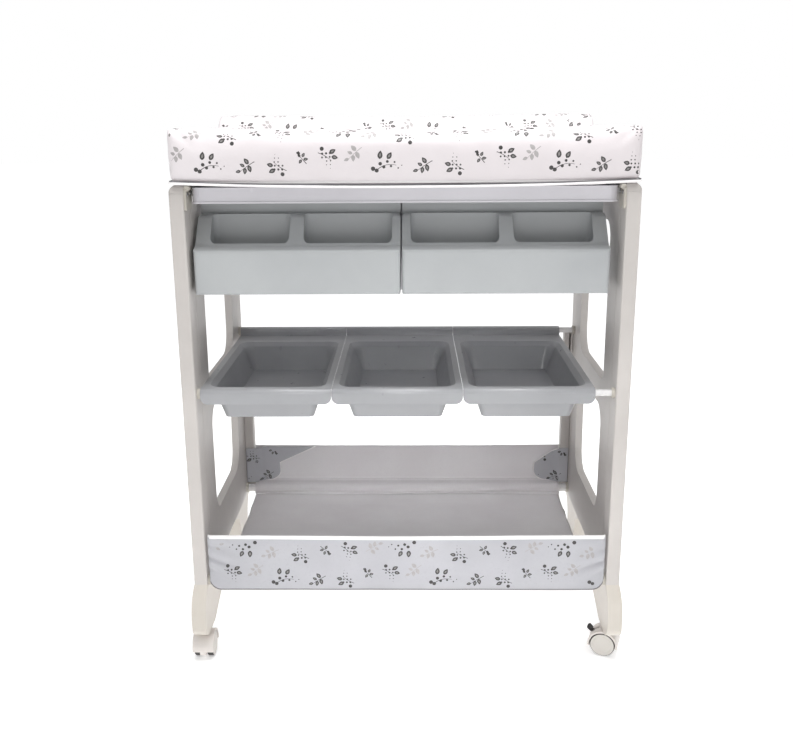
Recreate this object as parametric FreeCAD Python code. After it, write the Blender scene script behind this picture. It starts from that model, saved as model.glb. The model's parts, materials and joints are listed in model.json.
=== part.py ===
import FreeCAD, Part
import math
import os
from FreeCAD import Vector

# Bath changing table: two moulded end frames on curved feet and twin-wheel casters, joined by
# steel tubes and rails. They carry a bath under a hinged changing mat, two pull-out organiser
# trays, three lift-out bins and a fabric basket.
# Millimetres. X runs left to right, Y front to back, Z up. Origin: floor, middle of the box.

# ------------------------------------------------------------------ driving sizes
FRAME_OUTER = 400.0        # outer face of an end frame, from the middle plane
FRAME_INNER = 375.0        # inner face of an end frame
WEB_THICKNESS = 15.0       # moulded web between the posts
POST_DEPTH = 49.0          # front-to-back size of each post
FRONT = -245.0             # front faces of the front posts
REAR = 239.0               # rear faces of the rear posts
FRAME_TOP = 916.5
FOOT_TOP = 172.0           # joint between the feet and the end frames
FOOT_BOTTOM = 57.0
MAT_FRONT = -250.0
MAT_REAR = 250.0
MAT_HALF_WIDTH = 397.0
MAT_BOTTOM = 917.0
BOARD_THICKNESS = 3.5
MAT_LYING_TOP = 955.0
MAT_FRONT_TOP = 1012.0
MAT_REAR_TOP = 1031.0
TUBE_WALL = 1.2
SHELF_FRONT_TUBE = (-227.0, 543.0, 6.0)      # y and z of the tube's centre, outer radius
SHELF_REAR_TUBE = (205.0, 561.5, 6.0)
BASKET_FRONT_TUBE = (-229.0, 177.0, 8.0)
BASKET_REAR_TUBE = (206.0, 186.0, 8.0)
BATH_RIM_TOP = 910.0
BATH_RIM_BOTTOM = 883.0
BATH_HALF_WIDTH = 364.0
BATH_FRONT = -233.0
BATH_REAR = 217.0
BATH_FLOOR = 700.0
WALL = 3.0                 # moulded wall of bath and trays
RAIL_TOP = 906.5
RAIL_HEIGHT = 11.0
TRAY_FRONT = -233.0
TRAY_REAR = -113.0
TRAY_BOTTOM = 724.0
TRAY_TOP = 860.0
TRAY_WIDTH = 360.0
TRAY_LEFT_STARTS = -367.5  # the trays stand a little to the left of the middle
TRAY_GAP = 3.0
BIN_WIDTH = 235.4
BIN_PITCH = 236.2
BIN_LEFT_STARTS = -368.5
BIN_RIM = 551.2
BIN_FLOOR = 491.0
BIN_WALL = 2.5
HINGE_Y = 245.0
HINGE_Z = 911.5
HINGE_RADIUS = 5.0
HINGE_PIN_RADIUS = 2.5
HINGE_CENTRE_X = 280.0
STEM_X = 395.5
STEM_FRONT_Y = -195.0
STEM_REAR_Y = 189.0
STEM_RADIUS = 4.0
WHEEL_RADIUS = 24.0
CASTER_TRAIL = 8.0        # stem axis to wheel axle
HOOD_RADIUS = 29.0
HOOD_HALF_WIDTH = 20.0
RUNNING_GAP = 0.06         # radial clearance of pins and stems


# ------------------------------------------------------------------ shape helpers
def box(x0, x1, y0, y1, z0, z1):
    return Part.makeBox(x1 - x0, y1 - y0, z1 - z0, Vector(x0, y0, z0))


def cylinder_x(radius, x0, x1, y, z):
    return Part.makeCylinder(radius, x1 - x0, Vector(x0, y, z), Vector(1, 0, 0))


def cylinder_y(radius, y0, y1, x, z):
    return Part.makeCylinder(radius, y1 - y0, Vector(x, y0, z), Vector(0, 1, 0))


def cylinder_z(radius, z0, z1, x, y):
    return Part.makeCylinder(radius, z1 - z0, Vector(x, y, z0), Vector(0, 0, 1))


def rounded_rectangle(a0, a1, b0, b1, radius):
    return [(a0, b0, radius), (a1, b0, radius), (a1, b1, radius), (a0, b1, radius)]


def rounded_wire(corners, place):
    """Closed wire through (a, b, radius) corners; place() turns (a, b) into a 3-D point."""
    arcs = []
    for index, (a, b, radius) in enumerate(corners):
        corner = Vector(a, b, 0)
        before = corners[index - 1]
        after = corners[(index + 1) % len(corners)]
        to_before = (Vector(before[0], before[1], 0) - corner).normalize()
        to_after = (Vector(after[0], after[1], 0) - corner).normalize()
        half_angle = to_before.getAngle(to_after) / 2
        reach = radius / math.tan(half_angle)
        bisector = (to_before + to_after).normalize()
        middle = corner + bisector * (radius / math.sin(half_angle) - radius)
        points = (corner + to_before * reach, middle, corner + to_after * reach)
        arcs.append([place(point.x, point.y) for point in points])
    edges = []
    for index, (corner, arc) in enumerate(zip(corners, arcs)):
        if corner[2] > 0:
            edges.append(Part.Arc(*arc).toShape())
        following = arcs[(index + 1) % len(arcs)]
        if arc[2].distanceToPoint(following[0]) > 1e-6:
            edges.append(Part.LineSegment(arc[2], following[0]).toShape())
    return Part.Wire(edges)


def plate_yz(corners, x0, x1):
    wire = rounded_wire(corners, lambda a, b: Vector(x0, a, b))
    return Part.Face(wire).extrude(Vector(x1 - x0, 0, 0))


def plate_xz(corners, y0, y1):
    wire = rounded_wire(corners, lambda a, b: Vector(a, y0, b))
    return Part.Face(wire).extrude(Vector(0, y1 - y0, 0))


def plate_xy(corners, z0, z1):
    wire = rounded_wire(corners, lambda a, b: Vector(a, b, z0))
    return Part.Face(wire).extrude(Vector(0, 0, z1 - z0))


def tapered_block(lower, upper):
    """Loft between two (x0, x1, y0, y1, radius, z) rounded rectangles."""
    wires = []
    for x0, x1, y0, y1, radius, z in (lower, upper):
        corners = rounded_rectangle(x0, x1, y0, y1, radius)
        wires.append(rounded_wire(corners, lambda a, b, z=z: Vector(a, b, z)))
    return Part.makeLoft(wires, True)


def mirrored(shape):
    return shape.mirror(Vector(0, 0, 0), Vector(1, 0, 0))


def save(name, shape):
    shape = shape.removeSplitter() if shape.ShapeType != "Compound" else shape
    if not shape.isValid():
        raise ValueError(name + " is not a valid shape")
    shape.exportStep("parts/" + name + ".step")
    print(name, len(shape.Solids), round(shape.Volume))


# ------------------------------------------------------------------ end frames and feet
def end_frame():
    """Right-hand end frame: two thick posts, a top member and a thin web with two windows."""
    side = [(FRONT, FOOT_TOP, 0), (FRONT, FRAME_TOP, 20), (REAR, FRAME_TOP, 20), (REAR, FOOT_TOP, 0)]
    end = [(FRAME_INNER, FOOT_TOP, 0), (FRAME_INNER, FRAME_TOP, 3),
           (FRAME_OUTER, FRAME_TOP, 15), (FRAME_OUTER, FOOT_TOP, 0)]
    plan = rounded_rectangle(FRAME_INNER, FRAME_OUTER, FRONT, REAR, 3)
    frame = plate_yz(side, FRAME_INNER, FRAME_OUTER)
    frame = frame.common(plate_xz(end, FRONT, REAR))
    frame = frame.common(plate_xy(plan, FOOT_TOP, FRAME_TOP))
    web_outer = FRAME_INNER + WEB_THICKNESS
    recess = rounded_rectangle(FRONT + POST_DEPTH, REAR - POST_DEPTH, FOOT_TOP - 30, FRAME_TOP - 42, 12)
    frame = frame.cut(plate_yz(recess, web_outer, FRAME_OUTER + 1))
    upper_window = [(-126, 536, 20), (135, 536, 46), (135, 838, 35), (-126, 838, 35)]
    lower_window = [(-102, 268, 18), (131, 268, 45), (138, 380, 60), (138, 483, 30),
                    (-121, 483, 40), (-121, 300, 40)]
    for window in (upper_window, lower_window):
        frame = frame.cut(plate_yz(window, FRAME_INNER - 1, FRAME_OUTER + 1))
    for line in (FRONT + POST_DEPTH, REAR - POST_DEPTH):
        groove = box(FRAME_INNER - 1, FRAME_INNER + 1, line - 0.8, line + 0.8, FOOT_TOP - 1, FRAME_TOP - 30)
        frame = frame.cut(groove)
    return frame


def foot(side_outline, stem_y):
    """Right-hand foot: a curved horn that swings outward as it goes down."""
    outer = [(400.0, FOOT_TOP), (406.5, 140.0), (409.5, 105.0), (408.5, FOOT_BOTTOM)]
    inner = [(375.0, FOOT_TOP), (380.0, 140.0), (382.5, 105.0), (381.5, FOOT_BOTTOM)]
    curves = []
    for points in (outer, inner):
        spline = Part.BSplineCurve()
        spline.interpolate([Vector(x, FRONT - 1, z) for x, z in points])
        curves.append(spline.toShape())
    top_edge = Part.LineSegment(Vector(375, FRONT - 1, FOOT_TOP), Vector(400, FRONT - 1, FOOT_TOP))
    low_edge = Part.LineSegment(Vector(381.5, FRONT - 1, FOOT_BOTTOM), Vector(408.5, FRONT - 1, FOOT_BOTTOM))
    wire = Part.Wire(Part.__sortEdges__(curves + [top_edge.toShape(), low_edge.toShape()]))
    horn = Part.Face(wire).extrude(Vector(0, REAR - FRONT + 2, 0))
    horn = horn.common(plate_yz(side_outline, FRAME_INNER - 5, FRAME_OUTER + 15))
    plan = rounded_rectangle(FRAME_INNER - 4, FRAME_OUTER + 14, FRONT, REAR, 6)
    horn = horn.common(plate_xy(plan, FOOT_BOTTOM - 1, FOOT_TOP + 1))
    bore = cylinder_z(STEM_RADIUS + RUNNING_GAP, FOOT_BOTTOM - 1, 94, STEM_X, stem_y)
    return horn.cut(bore)


def rear_post():
    """Stiffening post inside the right-hand rear leg, with a locating slot."""
    post = plate_xy(rounded_rectangle(355, FRAME_INNER, 215, REAR - 1, 1.5), FOOT_TOP, 556)
    post = post.cut(box(365.4, 366.4, 214, 215.8, FOOT_TOP - 1, 504))
    return post.cut(box(365.4, 370.0, 214, 235, 504, 551))


FRONT_FOOT = [(FRONT, FOOT_TOP, 0), (FRONT, FOOT_BOTTOM, 22), (-165, FOOT_BOTTOM, 40),
              (-95, 80, 40), (-42, 118, 40), (-13, FOOT_TOP, 0)]
REAR_FOOT = [(REAR, FOOT_TOP, 0), (REAR, FOOT_BOTTOM, 22), (172, FOOT_BOTTOM, 14),
             (150, 90, 30), (128, 142, 40), (55, FOOT_TOP, 0)]


# ------------------------------------------------------------------ tubes, sockets, rails
TUBES = (SHELF_FRONT_TUBE, SHELF_REAR_TUBE, BASKET_FRONT_TUBE, BASKET_REAR_TUBE)
SOCKET_LENGTH = 5.5
TUBE_HALF_LENGTH = FRAME_INNER - 1.0


def tube(y, z, radius):
    outer = cylinder_x(radius, -TUBE_HALF_LENGTH, TUBE_HALF_LENGTH, y, z)
    return outer.cut(cylinder_x(radius - TUBE_WALL, -FRAME_INNER, FRAME_INNER, y, z))


def tube_sockets():
    """Right-hand cups that hold the four tube ends; the lower rear one clears the rear post."""
    cups = []
    for y, z, radius in TUBES:
        cup = cylinder_x(radius + 3.5, FRAME_INNER - SOCKET_LENGTH, FRAME_INNER, y, z)
        cup = cup.cut(cylinder_x(radius, FRAME_INNER - SOCKET_LENGTH - 1, TUBE_HALF_LENGTH, y, z))
        cups.append(cup.cut(box(354, 376, 215, 240, 170, 200)))
    return Part.Compound(cups)


def rail(y0, y1, z0, z1):
    wall = 1.5
    outer = box(-FRAME_INNER, FRAME_INNER, y0, y1, z0, z1)
    return outer.cut(box(-FRAME_INNER, FRAME_INNER, y0 + wall, y1 - wall, z0 + wall, z1 - wall))


RAIL_BOTTOM = RAIL_TOP - RAIL_HEIGHT
BATH_RAILS = {
    "bath_rail_front": (-195.0, -169.0, RAIL_BOTTOM, RAIL_TOP),
    "bath_rail_middle": (-137.0, -111.0, RAIL_BOTTOM, RAIL_TOP),
    "bath_rail_rear": (221.0, 237.0, 884.0, 908.0),
}


# ------------------------------------------------------------------ bath
DRAIN_X = 235.0
DRAIN_Y = 60.0


def bath():
    """Bath shell: flanged rim with a turned-down edge, wide front ledge and a tapered tub."""
    outline = (-BATH_HALF_WIDTH, BATH_HALF_WIDTH, BATH_FRONT, BATH_REAR)
    inset = (-BATH_HALF_WIDTH + WALL, BATH_HALF_WIDTH - WALL, BATH_FRONT + WALL, BATH_REAR - WALL)
    bead = (-BATH_HALF_WIDTH - 1.5, BATH_HALF_WIDTH + 1.5, BATH_FRONT - 1.5, BATH_REAR + 1.5)
    rim = plate_xy(rounded_rectangle(*outline, 14), BATH_RIM_BOTTOM, BATH_RIM_TOP)
    rim = rim.fuse(plate_xy(rounded_rectangle(*bead, 15.5), BATH_RIM_BOTTOM, BATH_RIM_BOTTOM + 3))
    under = plate_xy(rounded_rectangle(*inset, 11), BATH_RIM_BOTTOM - 1, BATH_RIM_TOP - WALL)
    rim = rim.cut(under)
    tub_top = (-335, 335, -100, 203, 60, BATH_RIM_TOP)
    tub_bottom = (-285, 285, -50, 170, 45, BATH_FLOOR)
    tub_inner_top = (-332, 332, -97, 200, 57, BATH_RIM_TOP)
    tub_inner_bottom = (-282, 282, -47, 167, 42, BATH_FLOOR + WALL)
    shell = rim.fuse(tapered_block(tub_bottom, tub_top))
    shell = shell.cut(tapered_block(tub_inner_bottom, tub_inner_top))
    notches = [(y0 - 0.5, y1 + 0.5, z0 - 0.5, z1) for y0, y1, z0, z1 in BATH_RAILS.values()]
    notches.append((-223.0, -104.0, BATH_RIM_BOTTOM - 1, RAIL_BOTTOM))
    for y0, y1, z0, z1 in notches:
        shell = shell.cut(box(-FRAME_INNER, -345, y0, y1, z0, z1))
        shell = shell.cut(box(345, FRAME_INNER, y0, y1, z0, z1))
    return shell.cut(cylinder_z(14, BATH_FLOOR - 1, BATH_FLOOR + WALL + 1, DRAIN_X, DRAIN_Y))


def bath_drain():
    """Drain fitting through the tub floor, with a seat for the plug."""
    floor_top = BATH_FLOOR + WALL
    fitting = cylinder_z(21, floor_top, floor_top + 2, DRAIN_X, DRAIN_Y)
    fitting = fitting.fuse(cylinder_z(14, 682, floor_top, DRAIN_X, DRAIN_Y))
    fitting = fitting.cut(cylinder_z(9, 681, floor_top + 3, DRAIN_X, DRAIN_Y))
    return fitting.cut(cylinder_z(13.5, floor_top - 4, floor_top + 3, DRAIN_X, DRAIN_Y))


def bath_plug():
    base = BATH_FLOOR + WALL - 3.7
    plug = cylinder_z(13, base, base + 6.5, DRAIN_X, DRAIN_Y)
    ring = Part.makeTorus(6, 1.4, Vector(DRAIN_X, DRAIN_Y, base + 12), Vector(0, 1, 0))
    stalk = cylinder_z(2.2, base + 6, base + 8, DRAIN_X, DRAIN_Y)
    return plug.fuse([ring, stalk])


def bath_brackets():
    """Right-hand pair of corner brackets that cradle the bath rim, with holes for the screws."""
    brackets = []
    for y0 in (FRONT + 4, REAR - 44):
        plate = plate_yz(rounded_rectangle(y0, y0 + 40, 872, 909, 4), FRAME_INNER - 4, FRAME_INNER)
        plate = plate.fuse(cylinder_y(4.5, y0 + 2, y0 + 38, FRAME_INNER - 4.5, 909))
        plate = plate.cut(box(FRAME_INNER, FRAME_INNER + 6, y0, y0 + 40, 870, 915))
        if y0 > 0:
            plate = plate.cut(box(360, 376, 220.5, 237.5, 883.5, 908.5))
        for y, z in bracket_screw_places(y0):
            plate = plate.cut(cylinder_x(1.8, FRAME_INNER - 6, FRAME_INNER + 1, y, z))
        brackets.append(plate)
    return Part.Compound(brackets)


def bracket_screw_places(y0):
    """Two screws side by side at the front, one above the other beside the rear rail."""
    if y0 > 0:
        return [(y0 + 8, 878), (y0 + 8, 898)]
    return [(y0 + 10, 899), (y0 + 30, 899)]


def bracket_screws():
    screws = []
    for y0 in (FRONT + 4, REAR - 44):
        for y, z in bracket_screw_places(y0):
            screw = cylinder_x(3.2, FRAME_INNER - 5.4, FRAME_INNER - 4, y, z)
            screw = screw.fuse(cylinder_x(1.8, FRAME_INNER - 4, FRAME_INNER, y, z))
            screw = screw.cut(box(FRAME_INNER - 6, FRAME_INNER - 4.9, y - 2.4, y + 2.4, z - 0.4, z + 0.4))
            screws.append(screw)
            screws.append(mirrored(screw))
    return Part.Compound(screws)


# ------------------------------------------------------------------ organiser trays and runners
TRAY_LIFT = 882.0          # top of the full-width back panel
LIP_BOTTOM = 887.0
LIP_TOP = 890.0
BACK_PANEL_FRONT = -145.0
TRAY_PROFILE = [(TRAY_FRONT, TRAY_BOTTOM, 6), (TRAY_FRONT, 801, 6), (-209, 808, 18),
                (-166, 857.5, 20), (TRAY_REAR, TRAY_TOP, 0), (TRAY_REAR, TRAY_BOTTOM, 0)]
TRAY_HOLLOW = [(TRAY_FRONT + 3, TRAY_BOTTOM - 1, 0), (TRAY_FRONT + 3, 798.6, 3), (-207, 805, 18),
               (-164.5, 854.4, 20), (TRAY_REAR - 3, TRAY_TOP - 3, 0), (TRAY_REAR - 3, TRAY_BOTTOM - 1, 0)]
POCKETS = ((24.0, 165.0), (188.5, 346.0))
POCKET_FRONT = -207.0
POCKET_REAR = -157.0
POCKET_FLOOR = TRAY_BOTTOM + 3


def tray(x0):
    """Organiser tray: sloping top with two pockets, and a back panel that carries the slide lips."""
    x1 = x0 + TRAY_WIDTH
    body = plate_yz(TRAY_PROFILE, x0, x1)
    body = body.common(plate_xy(rounded_rectangle(x0, x1, TRAY_FRONT, TRAY_REAR + 20, 7),
                                TRAY_BOTTOM, TRAY_TOP + 1))
    end = [(x0, TRAY_BOTTOM, 4), (x1, TRAY_BOTTOM, 4), (x1, TRAY_TOP, 9), (x0, TRAY_TOP, 9)]
    body = body.common(plate_xz(end, TRAY_FRONT, TRAY_REAR))
    hollow = plate_yz(TRAY_HOLLOW, x0 + WALL, x1 - WALL)
    body = body.cut(hollow)
    cavities = []
    for start, stop in POCKETS:
        outer = (x0 + start - WALL, x0 + stop + WALL, POCKET_FRONT - WALL, POCKET_REAR + WALL)
        cup = plate_xy(rounded_rectangle(*outer, 13), TRAY_BOTTOM, TRAY_TOP - 2)
        body = body.fuse(cup.common(plate_yz(TRAY_PROFILE, x0, x1)))
        inner = (x0 + start, x0 + stop, POCKET_FRONT, POCKET_REAR)
        lower = (x0 + start + 3, x0 + stop - 3, POCKET_FRONT + 2, POCKET_REAR - 2)
        cavities.append(tapered_block((*lower, 8, POCKET_FLOOR), (*inner, 10, TRAY_TOP + 5)))
    body = body.cut(cavities)
    panel = box(x0, x1, BACK_PANEL_FRONT, BACK_PANEL_FRONT + 3, TRAY_TOP - 3, TRAY_LIFT)
    neck = box(x0 + 14, x1 - 14, BACK_PANEL_FRONT, BACK_PANEL_FRONT + 3, TRAY_LIFT, LIP_TOP)
    pieces = [panel, neck]
    for web_x, lip_x in ((x0 + 14, x0 + 3), (x1 - 16.5, x1 - 16.5)):
        pieces.append(box(web_x, web_x + 2.5, BACK_PANEL_FRONT, TRAY_REAR, TRAY_TOP - 2, LIP_TOP))
        pieces.append(box(lip_x, lip_x + 13.5, BACK_PANEL_FRONT, TRAY_REAR, LIP_BOTTOM, LIP_TOP))
    return body.fuse(pieces)


def tray_runners(x0):
    """Pair of channels under the bath rails that the lips of one tray run in."""
    x1 = x0 + TRAY_WIDTH
    y0, y1 = -215.0, -108.0
    channels = []
    for wall_x, flange_x, top_x in ((x0 + 0.5, x0 + 0.5, x0 + 0.5), (x1 - 2.5, x1 - 11.5, x1 - 17.0)):
        wall = box(wall_x, wall_x + 2, y0, y1, 884, RAIL_BOTTOM - 2)
        flange = box(flange_x, flange_x + 11, y0, y1, 884, 886)
        top = box(top_x, top_x + 16.5, y0, y1, RAIL_BOTTOM - 2, RAIL_BOTTOM)
        channels.append(wall.fuse([flange, top]).removeSplitter())
    return Part.Compound(channels)


# ------------------------------------------------------------------ lift-out bins
BIN_FRONT = -239.0
BIN_FLARE = 545.0          # height from which the walls flare out to the rim
HOOK_FRONT = 191.0
HOOK_REAR = 213.9
HOOK_TOP = 570.4


def bin_block(x0, x1, inset):
    """Tapered body that flares out to the rim: inset 0 is the outside, the wall thickness the inside."""
    top = BIN_RIM + BIN_WALL + (0.5 if inset else 0.0)
    lower = (x0 + 36 + inset, x1 - 36 - inset, -202 + inset, 122 - inset, 10 - inset, BIN_FLOOR + inset)
    middle = (x0 + 17 + inset, x1 - 17 - inset, -216.5 + inset, 127 - inset, 22 - inset, BIN_FLARE)
    upper = (x0 + 8.5 + inset, x1 - 8.5 - inset, -224.5 + inset, 135 - inset, 26 - inset, top)
    return tapered_block(lower, middle).fuse(tapered_block(middle, upper))


def storage_bin(x0):
    """Bin with a narrow rim that rolls over the front tube and hooks on the rear one."""
    x1 = x0 + BIN_WIDTH
    rim_top = BIN_RIM + BIN_WALL
    rim_rear = HOOK_FRONT + BIN_WALL
    rim = plate_xy([(x0, -228, 0), (x1, -228, 0), (x1, rim_rear, 5), (x0, rim_rear, 5)], BIN_RIM, rim_top)
    roll = [(BIN_FRONT, 526, 0), (BIN_FRONT, rim_top, 9), (-215, rim_top, 0), (-215, 526, 0)]
    under = [(BIN_FRONT + BIN_WALL, 525, 0), (BIN_FRONT + BIN_WALL, BIN_RIM, 6.5),
             (-214, BIN_RIM, 0), (-214, 525, 0)]
    skirt_end = [(x0, 526, 13), (x1, 526, 13), (x1, rim_top, 0), (x0, rim_top, 0)]
    front = plate_yz(roll, x0, x1).cut(plate_yz(under, x0 - 1, x1 + 1))
    front = front.common(plate_xz(skirt_end, BIN_FRONT, -215))
    outer = [(HOOK_FRONT, BIN_RIM, 0), (HOOK_FRONT, HOOK_TOP, 8.5), (HOOK_REAR, HOOK_TOP, 8.5),
             (HOOK_REAR, 557, 1), (HOOK_REAR - 4, 557, 0), (HOOK_REAR - 4, BIN_RIM, 0)]
    inner = [(HOOK_FRONT + BIN_WALL, BIN_RIM - 1, 0), (HOOK_FRONT + BIN_WALL, HOOK_TOP - BIN_WALL, 6),
             (HOOK_REAR - BIN_WALL, HOOK_TOP - BIN_WALL, 6), (HOOK_REAR - BIN_WALL, BIN_RIM - 1, 0)]
    hook = plate_yz(outer, x0, x1).cut(plate_yz(inner, x0 - 1, x1 + 1))
    solid = bin_block(x0, x1, 0).fuse([rim, front, hook])
    return solid.cut(bin_block(x0, x1, BIN_WALL))


# ------------------------------------------------------------------ fabric basket
BASKET_HALF_WIDTH = 359.0


def basket_front_panel():
    corners = [(-BASKET_HALF_WIDTH, 162, 30), (BASKET_HALF_WIDTH, 162, 30),
               (BASKET_HALF_WIDTH, 272, 6), (-BASKET_HALF_WIDTH, 272, 6)]
    return plate_xz(corners, -246.0, -239.0)


def basket_back_panel():
    corners = rounded_rectangle(-354.0, 354.0, 196, 283, 6)
    return plate_xz(corners, 226.0, 232.0)


def basket_floor():
    return box(-352.0, 352.0, -236.0, 206.0, 164.0, 168.0)


# ------------------------------------------------------------------ changing mat
BOARD_TOP = MAT_BOTTOM + BOARD_THICKNESS
BOLSTER_INNER_X = 312.0
FRONT_BOLSTER_REAR = -170.0
REAR_BOLSTER_FRONT = 160.0


def mat_board():
    corners = rounded_rectangle(-394.0, 394.0, MAT_FRONT + 3, MAT_REAR - 4, 8)
    return plate_xy(corners, MAT_BOTTOM, BOARD_TOP)


def mat_base_cushion():
    corners = rounded_rectangle(-BOLSTER_INNER_X, BOLSTER_INNER_X, FRONT_BOLSTER_REAR, REAR_BOLSTER_FRONT, 4)
    return plate_xy(corners, BOARD_TOP, MAT_LYING_TOP)


def mat_bolster_front():
    section = [(FRONT_BOLSTER_REAR, BOARD_TOP, 0), (MAT_FRONT, BOARD_TOP, 3), (MAT_FRONT, MAT_FRONT_TOP, 9),
               (-212, MAT_FRONT_TOP, 26), (FRONT_BOLSTER_REAR, MAT_LYING_TOP, 8)]
    return plate_yz(section, -MAT_HALF_WIDTH, MAT_HALF_WIDTH)


def mat_bolster_rear():
    section = [(REAR_BOLSTER_FRONT, BOARD_TOP, 0), (REAR_BOLSTER_FRONT, MAT_LYING_TOP, 8),
               (205, MAT_REAR_TOP, 26), (MAT_REAR, MAT_REAR_TOP, 12), (MAT_REAR, BOARD_TOP, 3)]
    return plate_yz(section, -MAT_HALF_WIDTH, MAT_HALF_WIDTH)


def mat_bolster_side():
    section = [(BOLSTER_INNER_X, BOARD_TOP, 0), (MAT_HALF_WIDTH, BOARD_TOP, 3), (MAT_HALF_WIDTH, 1010, 9),
               (358, 1010, 26), (BOLSTER_INNER_X, MAT_LYING_TOP, 8)]
    return plate_xz(section, FRONT_BOLSTER_REAR, REAR_BOLSTER_FRONT)


# ------------------------------------------------------------------ mat hinges
HINGE_HALF_WIDTH = 25.0
KNUCKLE_HALF_WIDTH = 9.7
HINGE_SCREW_Z = 890.0


def hinge_bracket():
    """Fixed leaf on the rear rail with the two outer knuckles."""
    x0, x1 = HINGE_CENTRE_X - HINGE_HALF_WIDTH, HINGE_CENTRE_X + HINGE_HALF_WIDTH
    web = [(237, 885, 0), (239.4, 885, 0), (239.4, 902, 4), (247.5, 909, 2), (243, 913.5, 0), (237, 907, 0)]
    bracket = plate_yz(web, x0, x1)
    bracket = bracket.fuse(cylinder_x(HINGE_RADIUS, x0, x1, HINGE_Y, HINGE_Z))
    gap = cylinder_x(HINGE_RADIUS + 3.0, HINGE_CENTRE_X - 10, HINGE_CENTRE_X + 10, HINGE_Y, HINGE_Z)
    bracket = bracket.cut(gap)
    return bracket.cut(cylinder_x(HINGE_PIN_RADIUS, x0 - 1, x1 + 1, HINGE_Y, HINGE_Z))


def hinge_leaf():
    """Moving leaf under the mat board with the middle knuckle."""
    x0, x1 = HINGE_CENTRE_X - KNUCKLE_HALF_WIDTH, HINGE_CENTRE_X + KNUCKLE_HALF_WIDTH
    leaf = plate_xy(rounded_rectangle(x0 - 15, x1 + 15, 190, 237.5, 5), MAT_BOTTOM - 2, MAT_BOTTOM)
    neck = box(x0, x1, 230, HINGE_Y, MAT_BOTTOM - 2, MAT_BOTTOM)
    knuckle = cylinder_x(HINGE_RADIUS, x0, x1, HINGE_Y, HINGE_Z)
    bridge = box(x0, x1, HINGE_Y - 3.5, HINGE_Y, HINGE_Z, MAT_BOTTOM)
    leaf = leaf.fuse([neck, knuckle, bridge])
    return leaf.cut(cylinder_x(HINGE_PIN_RADIUS + RUNNING_GAP, x0 - 1, x1 + 1, HINGE_Y, HINGE_Z))


def hinge_pins():
    reach = HINGE_HALF_WIDTH + 1.0
    pin = cylinder_x(HINGE_PIN_RADIUS, HINGE_CENTRE_X - reach, HINGE_CENTRE_X + reach, HINGE_Y, HINGE_Z)
    return Part.Compound([pin, mirrored(pin)])


# ------------------------------------------------------------------ casters
# Each caster is drawn about its stem at the origin, with the wheels trailing along +X.
AXLE_Z = WHEEL_RADIUS
WEB_HALF = 6.0
AXLE_RADIUS = 3.0
HOOD_INNER_RADIUS = 25.6
NECK_TOP = 53.5
LEVER_ANGLE = math.radians(40)    # place of the lever's pin round the axle
LEVER_LEAN = 44.0                 # how steeply the lever stands, in degrees
LEVER_PIVOT_RADIUS = 18.0
LEVER_PIN_RADIUS = 1.5
LEVER_X = CASTER_TRAIL + LEVER_PIVOT_RADIUS * math.cos(LEVER_ANGLE)
LEVER_Z = AXLE_Z + LEVER_PIVOT_RADIUS * math.sin(LEVER_ANGLE)

# name: (stem x, stem y, swivel angle of the trail direction in degrees, has a brake)
CASTERS = {
    "front_left": (-STEM_X, STEM_FRONT_Y, -90.0, False),
    "front_right": (STEM_X, STEM_FRONT_Y, 160.0, True),
    "rear_left": (-STEM_X, STEM_REAR_Y, 100.0, True),
    "rear_right": (STEM_X, STEM_REAR_Y, 90.0, False),
}


def caster_hood(has_brake):
    hood = cylinder_y(HOOD_RADIUS, -HOOD_HALF_WIDTH, HOOD_HALF_WIDTH, CASTER_TRAIL, AXLE_Z)
    hood = hood.fuse(cylinder_z(9, 34, NECK_TOP, 0, 0))
    for y0, y1 in ((-HOOD_HALF_WIDTH - 1, -WEB_HALF), (WEB_HALF, HOOD_HALF_WIDTH + 1)):
        hood = hood.cut(cylinder_y(HOOD_INNER_RADIUS, y0, y1, CASTER_TRAIL, AXLE_Z))
        hood = hood.cut(box(-40, 60, y0, y1, -10, 20))
    hood = hood.cut(box(-40, 60, -30, 30, -10, 12))
    hood = hood.cut(cylinder_z(STEM_RADIUS, 34, NECK_TOP + 1, 0, 0))
    hood = hood.cut(cylinder_y(AXLE_RADIUS, -WEB_HALF - 1, WEB_HALF + 1, CASTER_TRAIL, AXLE_Z))
    if has_brake:
        slot = box(LEVER_X - 5, LEVER_X + 30, -3.2, 3.2, LEVER_Z - 8, LEVER_Z + 20)
        pin_bore = cylinder_y(LEVER_PIN_RADIUS, -WEB_HALF - 1, WEB_HALF + 1, LEVER_X, LEVER_Z)
        hood = hood.cut([slot, pin_bore])
    return hood


def caster_pins(has_brake):
    """Stem with its collar, the wheel axle and, on a braked caster, the pin of the lever."""
    stem = cylinder_z(STEM_RADIUS, 34, 92, 0, 0).fuse(cylinder_z(7, NECK_TOP, 56, 0, 0))
    axle = cylinder_y(AXLE_RADIUS, -17.5, 17.5, CASTER_TRAIL, AXLE_Z)
    pins = [stem, axle]
    if has_brake:
        pins.append(cylinder_y(LEVER_PIN_RADIUS, -WEB_HALF, WEB_HALF, LEVER_X, LEVER_Z))
    return Part.Compound(pins)


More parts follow.
